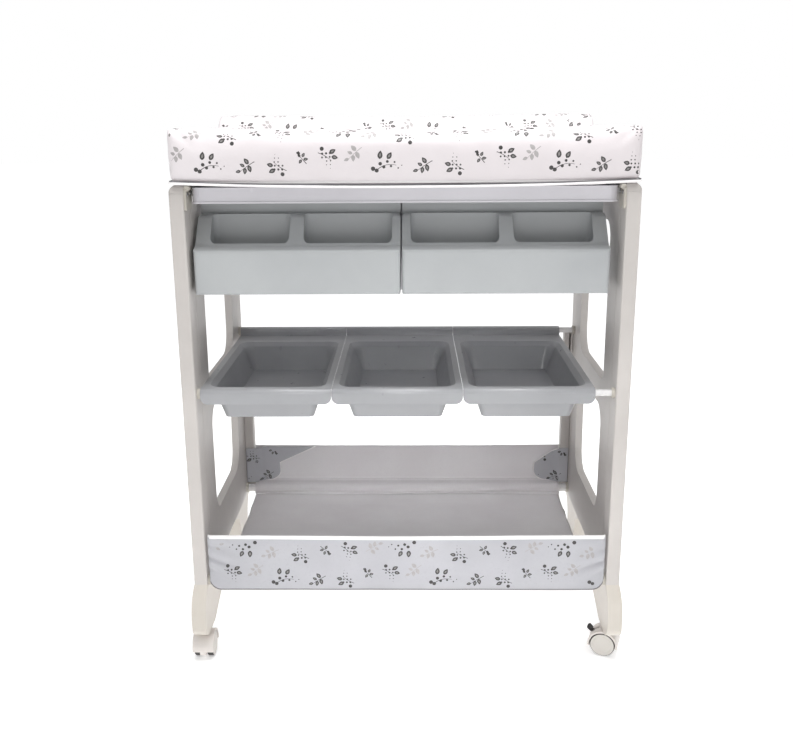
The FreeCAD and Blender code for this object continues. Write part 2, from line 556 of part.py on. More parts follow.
def caster_wheels():
    """Two discs with a chamfered tread and a closed outer cap."""
    half = [(0, 18.2), (0, 19.3), (17, 19.3), (18, 18.6), (22.3, 18.6), (WHEEL_RADIUS, 16.8),
            (WHEEL_RADIUS, 8.2), (22.6, 6.7), (AXLE_RADIUS + RUNNING_GAP, 6.7),
            (AXLE_RADIUS + RUNNING_GAP, 18.2)]
    points = [Vector(CASTER_TRAIL + radius, y, AXLE_Z) for radius, y in half]
    section = Part.Face(Part.makePolygon(points + [points[0]]))
    wheel = section.revolve(Vector(CASTER_TRAIL, 0, AXLE_Z), Vector(0, 1, 0), 360)
    other = wheel.mirror(Vector(0, 0, 0), Vector(0, 1, 0))
    return Part.Compound([wheel, other])


def brake_lever():
    """Foot lever: a slim arm on its pin inside the hood, ending in an oval paddle outside."""
    arm = box(LEVER_X - 3, LEVER_X + 22, -2.6, 2.6, LEVER_Z - 2.5, LEVER_Z + 2.5)
    paddle = plate_xy(rounded_rectangle(LEVER_X + 12, LEVER_X + 25, -8, 8, 6.4), LEVER_Z - 3, LEVER_Z + 3)
    side = rounded_rectangle(LEVER_X + 12, LEVER_X + 25, LEVER_Z - 3, LEVER_Z + 3, 2.9)
    end = rounded_rectangle(-8, 8, LEVER_Z - 3, LEVER_Z + 3, 2)
    paddle = paddle.common(plate_xz(side, -9, 9)).common(plate_yz(end, LEVER_X, LEVER_X + 30))
    lever = arm.fuse(paddle)
    bore = cylinder_y(LEVER_PIN_RADIUS + RUNNING_GAP, -4, 4, LEVER_X, LEVER_Z)
    lever = lever.cut(bore)
    lever.rotate(Vector(LEVER_X, 0, LEVER_Z), Vector(0, 1, 0), -LEVER_LEAN)
    return lever


def placed(shape, stem_x, stem_y, swivel):
    shape = shape.copy()
    shape.rotate(Vector(0, 0, 0), Vector(0, 0, 1), swivel)
    shape.translate(Vector(stem_x, stem_y, 0))
    return shape


# ------------------------------------------------------------------ make every node
os.makedirs("parts", exist_ok=True)

PAIRS = {
    "end_frame": end_frame(),
    "foot_front": foot(FRONT_FOOT, STEM_FRONT_Y),
    "foot_rear": foot(REAR_FOOT, STEM_REAR_Y),
    "rear_post": rear_post(),
    "tube_sockets": tube_sockets(),
    "bath_brackets": bath_brackets(),
    "mat_bolster_side": mat_bolster_side(),
    "hinge_bracket": hinge_bracket(),
    "hinge_leaf": hinge_leaf(),
}
for name, right_shape in PAIRS.items():
    save(name + "_right", right_shape)
    save(name + "_left", mirrored(right_shape))

save("shelf_tube_front", tube(*SHELF_FRONT_TUBE))
save("shelf_tube_rear", tube(*SHELF_REAR_TUBE))
save("basket_tube_front", tube(*BASKET_FRONT_TUBE))
save("basket_tube_rear", tube(*BASKET_REAR_TUBE))
for name, section in BATH_RAILS.items():
    save(name, rail(*section))
save("bracket_screws", bracket_screws())

save("bath_tub", bath())
save("bath_drain", bath_drain())
save("bath_plug", bath_plug())

TRAY_RIGHT_STARTS = TRAY_LEFT_STARTS + TRAY_WIDTH + TRAY_GAP
right_tray = tray(TRAY_RIGHT_STARTS)
middle = Vector(TRAY_RIGHT_STARTS + TRAY_WIDTH / 2, 0, 0)
save("tray_left", tray(TRAY_LEFT_STARTS))
save("tray_right", right_tray.mirror(middle, Vector(1, 0, 0)))
save("tray_runners_left", tray_runners(TRAY_LEFT_STARTS))
save("tray_runners_right", tray_runners(TRAY_RIGHT_STARTS))

for index, place in enumerate(("left", "middle", "right")):
    save("bin_" + place, storage_bin(BIN_LEFT_STARTS + index * BIN_PITCH))

save("basket_front_panel", basket_front_panel())
save("basket_back_panel", basket_back_panel())
save("basket_floor", basket_floor())

save("mat_board", mat_board())
save("mat_base_cushion", mat_base_cushion())
save("mat_bolster_front", mat_bolster_front())
save("mat_bolster_rear", mat_bolster_rear())
save("hinge_pins", hinge_pins())

for corner, (stem_x, stem_y, swivel, has_brake) in CASTERS.items():
    save("caster_hood_" + corner, placed(caster_hood(has_brake), stem_x, stem_y, swivel))
    save("caster_pins_" + corner, placed(caster_pins(has_brake), stem_x, stem_y, swivel))
    save("caster_wheels_" + corner, placed(caster_wheels(), stem_x, stem_y, swivel))
    if has_brake:
        save("brake_lever_" + corner, placed(brake_lever(), stem_x, stem_y, swivel))
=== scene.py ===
import json
import math

import bmesh
import bpy
import numpy as np
from mathutils import Matrix, Vector
from mathutils.bvhtree import BVHTree


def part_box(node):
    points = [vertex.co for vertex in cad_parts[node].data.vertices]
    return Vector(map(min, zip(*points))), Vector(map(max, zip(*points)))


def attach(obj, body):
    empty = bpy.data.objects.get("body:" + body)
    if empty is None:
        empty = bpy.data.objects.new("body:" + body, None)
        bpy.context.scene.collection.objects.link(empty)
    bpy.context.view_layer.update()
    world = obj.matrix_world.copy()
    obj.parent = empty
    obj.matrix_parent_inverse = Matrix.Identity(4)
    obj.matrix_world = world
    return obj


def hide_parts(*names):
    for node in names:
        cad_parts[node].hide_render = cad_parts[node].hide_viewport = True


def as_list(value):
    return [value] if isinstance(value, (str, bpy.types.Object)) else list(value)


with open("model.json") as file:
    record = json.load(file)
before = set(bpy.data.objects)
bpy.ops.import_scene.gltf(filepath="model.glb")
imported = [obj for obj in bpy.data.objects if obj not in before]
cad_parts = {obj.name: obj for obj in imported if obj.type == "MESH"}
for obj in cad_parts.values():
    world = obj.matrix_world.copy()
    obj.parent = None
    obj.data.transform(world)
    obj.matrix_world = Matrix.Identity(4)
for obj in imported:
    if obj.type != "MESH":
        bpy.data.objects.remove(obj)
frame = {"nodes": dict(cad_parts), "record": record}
scene = bpy.context.scene
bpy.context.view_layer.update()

# Looks of a bath changing table: the printed mat cover, the fabric basket and every finish.
# Metres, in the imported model's frame: X to the right, Y to the back, Z up from the floor.

MM = 0.001
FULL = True


# ------------------------------------------------------------------ mesh helpers
def mesh_object(name, vertices, faces, material, smooth=True):
    """New object from the given vertices and faces, with one material."""
    mesh = bpy.data.meshes.new(name)
    mesh.from_pydata([tuple(vertex) for vertex in vertices], [], faces)
    mesh.polygons.foreach_set("use_smooth", [smooth] * len(mesh.polygons))
    mesh.materials.append(material)
    made = bpy.data.objects.new(name, mesh)
    scene.collection.objects.link(made)
    return made


def turn_faces_out(made):
    """Consistent outward faces on a mesh of closed shells."""
    work = bmesh.new()
    work.from_mesh(made.data)
    bmesh.ops.recalc_face_normals(work, faces=work.faces)
    work.to_mesh(made.data)
    work.free()
    return made


def coordinates(mesh):
    flat = np.zeros(len(mesh.vertices) * 3)
    mesh.vertices.foreach_get("co", flat)
    return flat.reshape(-1, 3)


def set_coordinates(mesh, points):
    mesh.vertices.foreach_set("co", np.asarray(points, float).ravel())
    mesh.update()


def vertex_normals(mesh):
    flat = np.zeros(len(mesh.vertices) * 3)
    mesh.vertices.foreach_get("normal", flat)
    return flat.reshape(-1, 3)


def apply_modifiers(made):
    """The object's mesh becomes what its modifiers show."""
    evaluated = made.evaluated_get(bpy.context.evaluated_depsgraph_get())
    mesh = bpy.data.meshes.new_from_object(evaluated)
    made.modifiers.clear()
    made.data = mesh
    mesh.polygons.foreach_set("use_smooth", [True] * len(mesh.polygons))
    return made


def rounded_path(corners, closed=True, steps=6):
    """Points through (a, b, radius) corners, with an arc of a few steps at each rounded one."""
    points = []
    for index, (a, b, radius) in enumerate(corners):
        corner = Vector((a, b))
        if not closed and index in (0, len(corners) - 1):
            points.append(corner)
            continue
        before = Vector(corners[index - 1][:2])
        after = Vector(corners[(index + 1) % len(corners)][:2])
        to_before = (before - corner).normalized()
        to_after = (after - corner).normalized()
        half_angle = to_before.angle(to_after) / 2
        centre = corner + (to_before + to_after).normalized() * (radius / math.sin(half_angle))
        first = corner + to_before * (radius / math.tan(half_angle)) - centre
        last = corner + to_after * (radius / math.tan(half_angle)) - centre
        sweep = first.angle_signed(last)
        for step in range(steps + 1):
            arm = first.copy()
            arm.rotate(Matrix.Rotation(-sweep * step / steps, 2))
            points.append(centre + arm)
    return points


def loft(name, sections, material):
    """Closed solid through rings with the same number of points, with flat ends."""
    count = len(sections[0])
    vertices = [point for section in sections for point in section]
    faces = []
    for ring in range(len(sections) - 1):
        for index in range(count):
            here = ring * count + index
            beside = ring * count + (index + 1) % count
            faces.append((here, beside, beside + count, here + count))
    faces.append(tuple(range(count)))
    faces.append(tuple(range(len(vertices) - 1, len(vertices) - count - 1, -1)))
    return turn_faces_out(mesh_object(name, vertices, faces, material))


def tube(name, path, radius, material, sides=10, closed=False):
    """Round tube along a path of points; an open one has closed ends."""
    path = [Vector(point) for point in path]
    count = len(path)
    across = None
    sections = []
    for index, point in enumerate(path):
        before = path[index - 1] if closed or index > 0 else point
        after = path[(index + 1) % count] if closed or index < count - 1 else point
        ahead = (after - before).normalized()
        if across is None:
            across = ahead.orthogonal().normalized()
        across = (across - ahead * across.dot(ahead)).normalized()
        other = ahead.cross(across)
        ring = []
        for side in range(sides):
            angle = 2 * math.pi * side / sides
            ring.append(point + (across * math.cos(angle) + other * math.sin(angle)) * radius)
        sections.append(ring)
    if not closed:
        return loft(name, sections, material)
    vertices = [point for section in sections for point in section]
    faces = []
    for ring in range(count):
        following = (ring + 1) % count
        for side in range(sides):
            beside = (side + 1) % sides
            faces.append((ring * sides + side, ring * sides + beside,
                          following * sides + beside, following * sides + side))
    return turn_faces_out(mesh_object(name, vertices, faces, material))


def thin_sheet(name, surface, columns, rows, thickness, material):
    """Closed thin shell about surface(u, v), with u and v from 0 to 1."""
    grid = np.array([[surface(column / columns, row / rows) for column in range(columns + 1)]
                     for row in range(rows + 1)], float)
    along = np.gradient(grid, axis=1)
    across = np.gradient(grid, axis=0)
    normal = np.cross(along, across)
    normal /= np.linalg.norm(normal, axis=2, keepdims=True)
    front = (grid + normal * thickness / 2).reshape(-1, 3)
    back = (grid - normal * thickness / 2).reshape(-1, 3)
    width = columns + 1
    total = width * (rows + 1)
    faces = []
    for row in range(rows):
        for column in range(columns):
            corner = row * width + column
            quad = (corner, corner + 1, corner + 1 + width, corner + width)
            faces.append(quad)
            faces.append(tuple(index + total for index in reversed(quad)))
    rim = [column for column in range(width)]
    rim += [row * width + columns for row in range(1, rows + 1)]
    rim += [rows * width + column for column in range(columns - 1, -1, -1)]
    rim += [row * width for row in range(rows - 1, 0, -1)]
    for index, here in enumerate(rim):
        beside = rim[(index + 1) % len(rim)]
        faces.append((beside, here, here + total, beside + total))
    return turn_faces_out(mesh_object(name, np.vstack((front, back)), faces, material))


def smooth_step(value, low, high):
    share = np.clip((np.asarray(value, float) - low) / (high - low), 0, 1)
    return share * share * (3 - 2 * share)


def ripple(a, b, seed):
    """Gentle repeatable unevenness about zero, from a few sine waves."""
    return (np.sin(a * 31 + seed * 1.7) * np.cos(b * 23 + seed)
            + 0.6 * np.sin(a * 67 + b * 41 + seed * 2.3)
            + 0.4 * np.cos(a * 113 - b * 89 + seed * 0.6)) / 2


# ------------------------------------------------------------------ materials
def tint(code):
    """Linear colour with alpha from an sRGB hex code."""
    channels = [int(code[start:start + 2], 16) / 255 for start in (0, 2, 4)]
    return (*[c / 12.92 if c <= 0.04045 else ((c + 0.055) / 1.055) ** 2.4 for c in channels], 1)


class Finish:
    """Principled material built up from soft colour patches, a roughness spread and a height."""

    def __init__(self, name, low, high, patch=7.0, roughness=(0.4, 0.5), **fixed):
        self.material = bpy.data.materials.new(name)
        self.material.use_nodes = True
        self.tree = self.material.node_tree
        self.shader = self.tree.nodes["Principled BSDF"]
        self.place = self.node("TexCoord").outputs["Object"]
        self.height = None
        patches = self.noise(patch, 5.0, 0.6)
        ramp = self.node("ValToRGB")
        ramp.color_ramp.elements[0].position = 0.3
        ramp.color_ramp.elements[0].color = tint(low)
        ramp.color_ramp.elements[1].position = 0.7
        ramp.color_ramp.elements[1].color = tint(high)
        self.join(patches, ramp.inputs["Fac"])
        self.colour = ramp.outputs["Color"]
        spread = self.node("MapRange")
        spread.inputs["To Min"].default_value = roughness[0]
        spread.inputs["To Max"].default_value = roughness[1]
        self.join(self.noise(patch * 9, 3.0, 0.5), spread.inputs["Value"])
        self.join(spread.outputs["Result"], self.shader.inputs["Roughness"])
        for socket, value in fixed.items():
            self.shader.inputs[socket.replace("_", " ")].default_value = value

    def node(self, kind, **settings):
        made = self.tree.nodes.new("ShaderNode" + kind)
        for name, value in settings.items():
            setattr(made, name, value)
        return made

    def join(self, source, target):
        self.tree.links.new(source, target)

    def noise(self, scale, detail, roughness):
        made = self.node("TexNoise")
        made.inputs["Scale"].default_value = scale
        made.inputs["Detail"].default_value = detail
        made.inputs["Roughness"].default_value = roughness
        self.join(self.place, made.inputs["Vector"])
        return made.outputs["Fac"]

    def cells(self, scale):
        made = self.node("TexVoronoi")
        made.inputs["Scale"].default_value = scale
        self.join(self.place, made.inputs["Vector"])
        return made.outputs["Distance"]

    def threads(self, direction, pitch):
        made = self.node("TexWave", bands_direction=direction)
        made.inputs["Scale"].default_value = 2 * math.pi / (20 * pitch)
        made.inputs["Distortion"].default_value = 0.6
        made.inputs["Detail Scale"].default_value = 2.0
        self.join(self.place, made.inputs["Vector"])
        return made.outputs["Fac"]

    def raise_by(self, source, amount):
        """Adds one source to the bump height, weighted by amount."""
        scaled = self.node("Math", operation="MULTIPLY")
        scaled.inputs[1].default_value = amount
        self.join(source, scaled.inputs[0])
        if self.height is None:
            self.height = scaled.outputs[0]
            return
        total = self.node("Math", operation="ADD")
        self.join(self.height, total.inputs[0])
        self.join(scaled.outputs[0], total.inputs[1])
        self.height = total.outputs[0]

    def darken(self, source, low, high, code):
        """Mixes another colour in where the source runs from low to high."""
        mask = self.node("MapRange")
        mask.inputs["From Min"].default_value = low
        mask.inputs["From Max"].default_value = high
        self.join(source, mask.inputs["Value"])
        mixed = self.node("Mix", data_type="RGBA")
        self.join(mask.outputs["Result"], mixed.inputs["Factor"])
        self.join(self.colour, mixed.inputs["A"])
        mixed.inputs["B"].default_value = tint(code)
        self.colour = mixed.outputs["Result"]

    def done(self, distance=0.0004, strength=0.35):
        self.join(self.colour, self.shader.inputs["Base Color"])
        if self.height is not None:
            bump = self.node("Bump")
            bump.inputs["Distance"].default_value = distance
            bump.inputs["Strength"].default_value = strength
            self.join(self.height, bump.inputs["Height"])
            self.join(bump.outputs["Normal"], self.shader.inputs["Normal"])
        return self.material


def moulded(name, low, high, roughness=(0.36, 0.5), grain=1400.0, **fixed):
    """Injection-moulded plastic: fine spark-eroded grain, faint flow marks and scuffs."""
    finish = Finish(name, low, high, 5.0, roughness, **fixed)
    finish.raise_by(finish.noise(grain, 2.0, 0.5), 0.5)
    finish.raise_by(finish.noise(38.0, 3.0, 0.5), 1.1)
    finish.darken(finish.noise(90.0, 6.0, 0.75), 0.62, 0.9, low)
    return finish.done(0.0002, 0.3)


def enamel(name, low, high):
    """Powder coat on steel: smooth orange peel under a gloss."""
    finish = Finish(name, low, high, 9.0, (0.22, 0.34), Coat_Weight=0.4, Coat_Roughness=0.15)
    finish.raise_by(finish.noise(420.0, 2.0, 0.5), 1.0)
    return finish.done(0.0002, 0.25)


def zinc(name):
    """Zinc-plated steel with a brushed drift and darker pits."""
    finish = Finish(name, "9b9ca0", "c3c4c6", 40.0, (0.25, 0.42), Metallic=1.0)
    finish.darken(finish.noise(700.0, 4.0, 0.7), 0.6, 0.85, "6d6e72")
    finish.raise_by(finish.noise(900.0, 3.0, 0.6), 1.0)
    return finish.done(0.0001, 0.3)


def vinyl(name, low, high, gloss=(0.34, 0.46)):
    """Wipe-clean PVC cover: pebbled grain, soft sheen and slow tonal drift."""
    finish = Finish(name, low, high, 4.0, gloss, Sheen_Weight=0.08, Coat_Weight=0.12, Coat_Roughness=0.3)
    finish.raise_by(finish.cells(620.0), 0.7)
    finish.raise_by(finish.noise(55.0, 4.0, 0.55), 1.6)
    return finish.done(0.0004, 0.3)


def woven(name, low, high, pitch=0.0009, rough=(0.6, 0.78)):
    """Coated plain-weave cloth with slubs."""
    finish = Finish(name, low, high, 6.0, rough, Sheen_Weight=0.2, Sheen_Roughness=0.5)
    finish.raise_by(finish.threads("X", pitch), 0.6)
    finish.raise_by(finish.threads("Z", pitch), 0.6)
    finish.raise_by(finish.noise(45.0, 5.0, 0.6), 2.2)
    finish.darken(finish.noise(260.0, 3.0, 0.6), 0.55, 0.85, low)
    return finish.done(0.0005, 0.4)


def ink(name, low, high):
    """Printed ink, a little uneven where it lies on the grain."""
    finish = Finish(name, low, high, 160.0, (0.4, 0.55), Sheen_Weight=0.05)
    finish.raise_by(finish.cells(620.0), 0.7)
    return finish.done(0.0003, 0.25)


FINISHES = {
    "frame_plastic": moulded("frame_plastic", "c5c0bc", "d0cbc7"),
    "foot_plastic": moulded("foot_plastic", "c9c2b8", "d4cec5", (0.3, 0.42)),
    "tube_enamel": enamel("tube_enamel", "e3e2e1", "edecec"),
    "bath_plastic": moulded("bath_plastic", "c8c6cb", "d3d1d6", (0.2, 0.3), 2200.0, Coat_Weight=0.3,
                            Coat_Roughness=0.12),
    "tray_plastic": moulded("tray_plastic", "aeb1b3", "b9bcbd", (0.38, 0.5)),
    "bin_plastic": moulded("bin_plastic", "999a9d", "a6a7aa", (0.24, 0.36), Coat_Weight=0.25,
                           Coat_Roughness=0.2),
    "bracket_plastic": moulded("bracket_plastic", "bdb8ae", "cbc6bd", (0.4, 0.55)),
    "hinge_steel": zinc("hinge_steel"),
    "mat_cover": vinyl("mat_cover", "dfd8da", "e9e3e5"),
    "mat_board": vinyl("mat_board", "e8e5e5", "f1efef"),
    "basket_cloth": woven("basket_cloth", "b4b4b9", "c1c1c6"),
    "caster_plastic": moulded("caster_plastic", "dcd5cf", "e5dfda", (0.28, 0.4)),
    "wheel_plastic": moulded("wheel_plastic", "d0cbc4", "dad6d0", (0.34, 0.48)),
    "brake_plastic": moulded("brake_plastic", "1c1a1c", "2b292b", (0.35, 0.5)),
}
PIPING = vinyl("piping_white", "f1eeee", "faf8f8", (0.28, 0.38))
# Dark vinyl: painted shadow in the groove along the mat's lower seam.
EDGE_GROOVE_PAINTED_SHADOW = vinyl("seam_groove_painted_shadow", "5f5d60", "77757a", (0.6, 0.7))
UNDERSIDE = woven("mat_underside", "e2e0e2", "edebed", 0.0012)
LINING = woven("basket_lining", "e6e2e4", "efedee")
# Dark grey cloth: painted shade on the basket's hems, the shadow under the floor's turned-down edges.
HEM_PAINTED_SHADE = woven("basket_hem_painted_shade", "6e6b6c", "8b8889", 0.0012)
INK_DARK = ink("print_dark", "3a3838", "4a4847")
INK_MID = ink("print_mid", "7d7a79", "918e8d")
INK_LIGHT = ink("print_light", "a5a1a1", "b7b3b3")
INKS = {"dark": INK_DARK, "mid": INK_MID, "light": INK_LIGHT}


# ------------------------------------------------------------------ carried-over CAD nodes
# node name start: bevel width in metres
EDGE_SOFTENING = {
    "end_frame": 0.0012, "foot": 0.0016, "rear_post": 0.0006, "tray_left": 0.0009, "tray_right": 0.0009,
    "bin": 0.0007, "bath_tub": 0.0009, "bath_brackets": 0.0005, "caster_hood": 0.0007, "bath_plug": 0.0006,
    "brake_lever": 0.0006, "mat_board": 0.0008, "tube_sockets": 0.0005,
}


def soften_edges(node, width):
    """Small rounded edges on a rigid moulding, as its tool leaves them."""
    weld = node.modifiers.new("Weld", "WELD")
    weld.merge_threshold = 0.00002
    bevel = node.modifiers.new("Edges", "BEVEL")
    bevel.width = width
    bevel.segments = 2
    bevel.limit_method = "ANGLE"
    bevel.angle_limit = math.radians(40)
    bevel.harden_normals = True


def wheel_finish(joint):
    """Nylon wheel with a pale disc; beyond the disc's edge the tread is darkened as painted shade of the gap under
    the hood.
    """
    finish = Finish("wheel_" + joint["child"], "d0cbc4", "dad6d0", 5.0, (0.34, 0.48))
    from_axle = finish.node("VectorMath", operation="SUBTRACT")
    from_axle.inputs[1].default_value = joint["pos_m"]
    finish.join(finish.place, from_axle.inputs[0])
    across = finish.node("VectorMath", operation="CROSS_PRODUCT")
    across.inputs[1].default_value = joint["axis"]
    finish.join(from_axle.outputs["Vector"], across.inputs[0])
    radius = finish.node("VectorMath", operation="LENGTH")
    finish.join(across.outputs["Vector"], radius.inputs[0])
    # Painted shade: darker beyond the disc's edge, standing in for the shadow in the gap under the hood.
    finish.darken(radius.outputs["Value"], 0.0222, 0.0228, "33302e")
    finish.raise_by(finish.noise(1400.0, 2.0, 0.5), 0.5)
    return finish.done(0.0002, 0.3)


def finish_cad_nodes():
    for part in frame["record"]["subparts"]:
        node = frame["nodes"][part["node"]]
        node.data.materials.clear()
        node.data.materials.append(FINISHES[part["material_slot"]])
        for start, width in EDGE_SOFTENING.items():
            if part["node"].startswith(start):
                soften_edges(node, width)
    for joint in frame["record"]["behaviour"]["joints"]:
        if joint["child"].startswith("wheels_"):
            wheels = frame["nodes"]["caster_" + joint["child"]]
            wheels.data.materials.clear()
            wheels.data.materials.append(wheel_finish(joint))


# ------------------------------------------------------------------ changing mat
MAT_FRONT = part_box("mat_bolster_front")[0].y
MAT_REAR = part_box("mat_bolster_rear")[1].y
MAT_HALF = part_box("mat_bolster_front")[1].x
FRONT_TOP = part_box("mat_bolster_front")[1].z
REAR_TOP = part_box("mat_bolster_rear")[1].z
SIDE_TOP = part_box("mat_bolster_side_right")[1].z
WELL_LOW, WELL_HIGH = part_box("mat_base_cushion")
LYING_TOP = WELL_HIGH.z
PAD_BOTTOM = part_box("mat_board")[1].z + 0.3 * MM
SLACK = 3.0 * MM               # the start shape is this much smaller than the finished pad
SIDE_REACH = 0.236             # how far the side bolsters run into the end ones
CUSHION_HALF = 0.33            # the flat cushion's own size, tucked under the bolsters
CUSHION_FRONT, CUSHION_REAR = -0.19, 0.18


def end_tightness(x):
    """0 in the middle of a bolster, 1 at its ends, where the seams hold the cover square."""
    return float(smooth_step(abs(x), MAT_HALF - 0.09, MAT_HALF))


def front_section(x):
    top = FRONT_TOP - SLACK
    face = MAT_FRONT + SLACK
    radius = 0.026 - 0.014 * end_tightness(x)
    return [(WELL_LOW.y + 0.002, PAD_BOTTOM, 0.002), (face, PAD_BOTTOM, 0.003), (face, top, radius),
            (MAT_FRONT + 0.044, top, 0.02), (WELL_LOW.y, LYING_TOP - 0.004, 0.004)]


def rear_section(_x):
    top = REAR_TOP - SLACK
    face = MAT_REAR - SLACK
    return [(WELL_HIGH.y - 0.002, PAD_BOTTOM, 0.002), (WELL_HIGH.y, LYING_TOP - 0.004, 0.004),
            (MAT_REAR - 0.048, top, 0.024), (face, top, 0.016), (face, PAD_BOTTOM, 0.003)]


def side_section(_y):
    top = SIDE_TOP - SLACK
    face = MAT_HALF - SLACK
    return [(WELL_HIGH.x - 0.002, PAD_BOTTOM, 0.002), (face, PAD_BOTTOM, 0.003), (face, top, 0.014),
            (MAT_HALF - 0.04, top, 0.024), (WELL_HIGH.x, LYING_TOP - 0.004, 0.004)]


def bolster(name, section, start, stop, place, count=24):
    rings = []
    for step in range(count + 1):
        along = start + (stop - start) * step / count
        rings.append([place(along, a, b) for a, b in rounded_path(section(along))])
    return loft(name, rings, FINISHES["mat_cover"])


def pad_start_shape():
    """The pad's parts before it is filled: four bolsters round a flat cushion, in one mesh."""
    half = MAT_HALF - SLACK
    parts = [
        bolster("front", front_section, -half, half, lambda x, y, z: (x, y, z)),
        bolster("rear", rear_section, -half, half, lambda x, y, z: (x, y, z)),
        bolster("right", side_section, -SIDE_REACH, SIDE_REACH, lambda y, x, z: (x, y, z)),
        bolster("left", side_section, -SIDE_REACH, SIDE_REACH, lambda y, x, z: (-x, y, z)),
    ]
    cushion = rounded_path([(-CUSHION_HALF, CUSHION_FRONT, 0.004), (CUSHION_HALF, CUSHION_FRONT, 0.004),
                            (CUSHION_HALF, CUSHION_REAR, 0.004), (-CUSHION_HALF, CUSHION_REAR, 0.004)])
    levels = [[(x, y, z) for x, y in cushion] for z in (PAD_BOTTOM, LYING_TOP - 2 * SLACK)]
    parts.append(loft("cushion", levels, FINISHES["mat_cover"]))
    with bpy.context.temp_override(active_object=parts[0], object=parts[0],
                                   selected_editable_objects=parts, selected_objects=parts):
        bpy.ops.object.join()
    parts[0].name = "mat_cover_padded"
    return parts[0]


def distance_to_lines(points, lines):
    """Shortest way from each point to any of the line segments."""
    nearest = np.full(len(points), 9.0)
    for start, stop in lines:
        start, stop = np.array(start), np.array(stop)
        along = stop - start
        share = np.clip(((points - start) @ along) / (along @ along), 0, 1)
        foot = start + share[:, None] * along
        nearest = np.minimum(nearest, np.linalg.norm(points - foot, axis=1))
    return nearest


def well_seams():
    """Welded seams round the lying surface."""
    z = LYING_TOP - 0.003
    corners = [(WELL_LOW.x, WELL_LOW.y, z), (WELL_HIGH.x, WELL_LOW.y, z),
               (WELL_HIGH.x, WELL_HIGH.y, z), (WELL_LOW.x, WELL_HIGH.y, z)]
    return [(corners[index - 1], corners[index]) for index in range(4)]


def mitre_seams():
    """Seams from the corners of the lying surface up to the outer corners of the bolsters."""
    seams = []
    for side in (-1, 1):
        for well_y, crest_y, outer_y, crest_z in (
                (WELL_LOW.y, MAT_FRONT + 0.03, MAT_FRONT, FRONT_TOP),
                (WELL_HIGH.y, MAT_REAR - 0.034, MAT_REAR, REAR_TOP)):
            crest = (side * (MAT_HALF - 0.03), crest_y, crest_z - 0.003)
            seams.append(((side * WELL_HIGH.x, well_y, LYING_TOP - 0.003), crest))
            seams.append((crest, (side * MAT_HALF, outer_y, crest_z - 0.003)))
    return seams


def simulate_filling(pad, pressure=4.0, frames=20, cap=0.009):
    """Cloth simulation of the filled cover; seams and the underside are held."""
    start = coordinates(pad.data)
    hold = np.clip(1.3 - distance_to_lines(start, well_seams() + mitre_seams()) / 0.007, 0, 1)
    hold = np.maximum(hold, np.clip(1.6 - (start[:, 2] - PAD_BOTTOM) / 0.006, 0, 1))
    group = pad.vertex_groups.new(name="held")
    for index, weight in enumerate(hold):
        if weight > 0:
            group.add([index], float(weight), "REPLACE")
    cloth = pad.modifiers.new("Filling", "CLOTH")
    cloth.settings.quality = 6
    cloth.settings.mass = 0.35
    cloth.settings.tension_stiffness = 18
    cloth.settings.compression_stiffness = 12
    cloth.settings.shear_stiffness = 6
    cloth.settings.bending_stiffness = 0.4
    cloth.settings.use_pressure = True
    cloth.settings.uniform_pressure_force = pressure
    cloth.settings.effector_weights.gravity = 0
    cloth.settings.vertex_group_mass = "held"
    cloth.collision_settings.use_collision = False
    cloth.point_cache.frame_start = 1
    cloth.point_cache.frame_end = frames
    for step in range(1, frames + 1):
        scene.frame_set(step)
    evaluated = pad.evaluated_get(bpy.context.evaluated_depsgraph_get())
    moved = coordinates(evaluated.data) - start
    far = np.linalg.norm(moved, axis=1, keepdims=True)
    moved *= np.minimum(1, cap / np.maximum(far, 1e-9))
    pad.modifiers.remove(cloth)
    pad.vertex_groups.clear()
    scene.frame_set(1)
    set_coordinates(pad.data, start + moved)


def remesh_and_relax(pad, voxel):
    remesh = pad.modifiers.new("Remesh", "REMESH")
    remesh.mode = "VOXEL"
    remesh.voxel_size = voxel
    relax = pad.modifiers.new("Relax", "SMOOTH")
    relax.factor = 0.5
    relax.iterations = 3
    apply_modifiers(pad)


def front_sag(x):
    """How far the cover's lower front edge hangs down at x, most in the middle."""
    return (1 - np.clip(np.abs(x) / MAT_HALF, 0, 1) ** 2.2) * 0.0075


def shape_by_hand(pad):
    """Corner ears, seam grooves, puckers and the sagging front edge."""
    mesh = pad.data
    points = coordinates(mesh)
    normals = vertex_normals(mesh)
    x, y, z = points.T
    seam = np.minimum(distance_to_lines(points, well_seams()), distance_to_lines(points, mitre_seams()))
    groove = 0.0022 * np.exp(-(seam / 0.004) ** 2)
    along = x + y
    pucker = 0.0011 * np.exp(-seam / 0.022) * np.sin(along * 210 + 3 * np.sin(along * 17)) * (seam > 0.001)
    soft = 0.0007 * ripple(x, y + z, 2.0)
    upright = (z > PAD_BOTTOM + 0.012).astype(float)
    points = points + normals * ((pucker + soft) * upright - groove)[:, None]
    for side in (-1, 1):
        for corner_y, top, lift in ((MAT_FRONT, FRONT_TOP, 0.0062), (MAT_REAR, REAR_TOP, 0.0015)):
            reach = np.hypot(x - side * (MAT_HALF - 0.006), y - corner_y * 0.985)
            ear = np.exp(-(reach / 0.013) ** 2) * smooth_step(z, top - 0.05, top - 0.008)
            points[:, 2] += lift * ear
            points[:, 0] += side * 0.0015 * ear
    hem = smooth_step(-y, -MAT_FRONT - 0.022, -MAT_FRONT - 0.008)
    hem = hem * (1 - smooth_step(z, PAD_BOTTOM + 0.004, PAD_BOTTOM + 0.04))
    points[:, 2] -= hem * front_sag(x)
    points[:, 0] += np.sign(x) * 0.0035 * smooth_step(np.abs(x), MAT_HALF - 0.03, MAT_HALF - 0.004)
    set_coordinates(mesh, points)


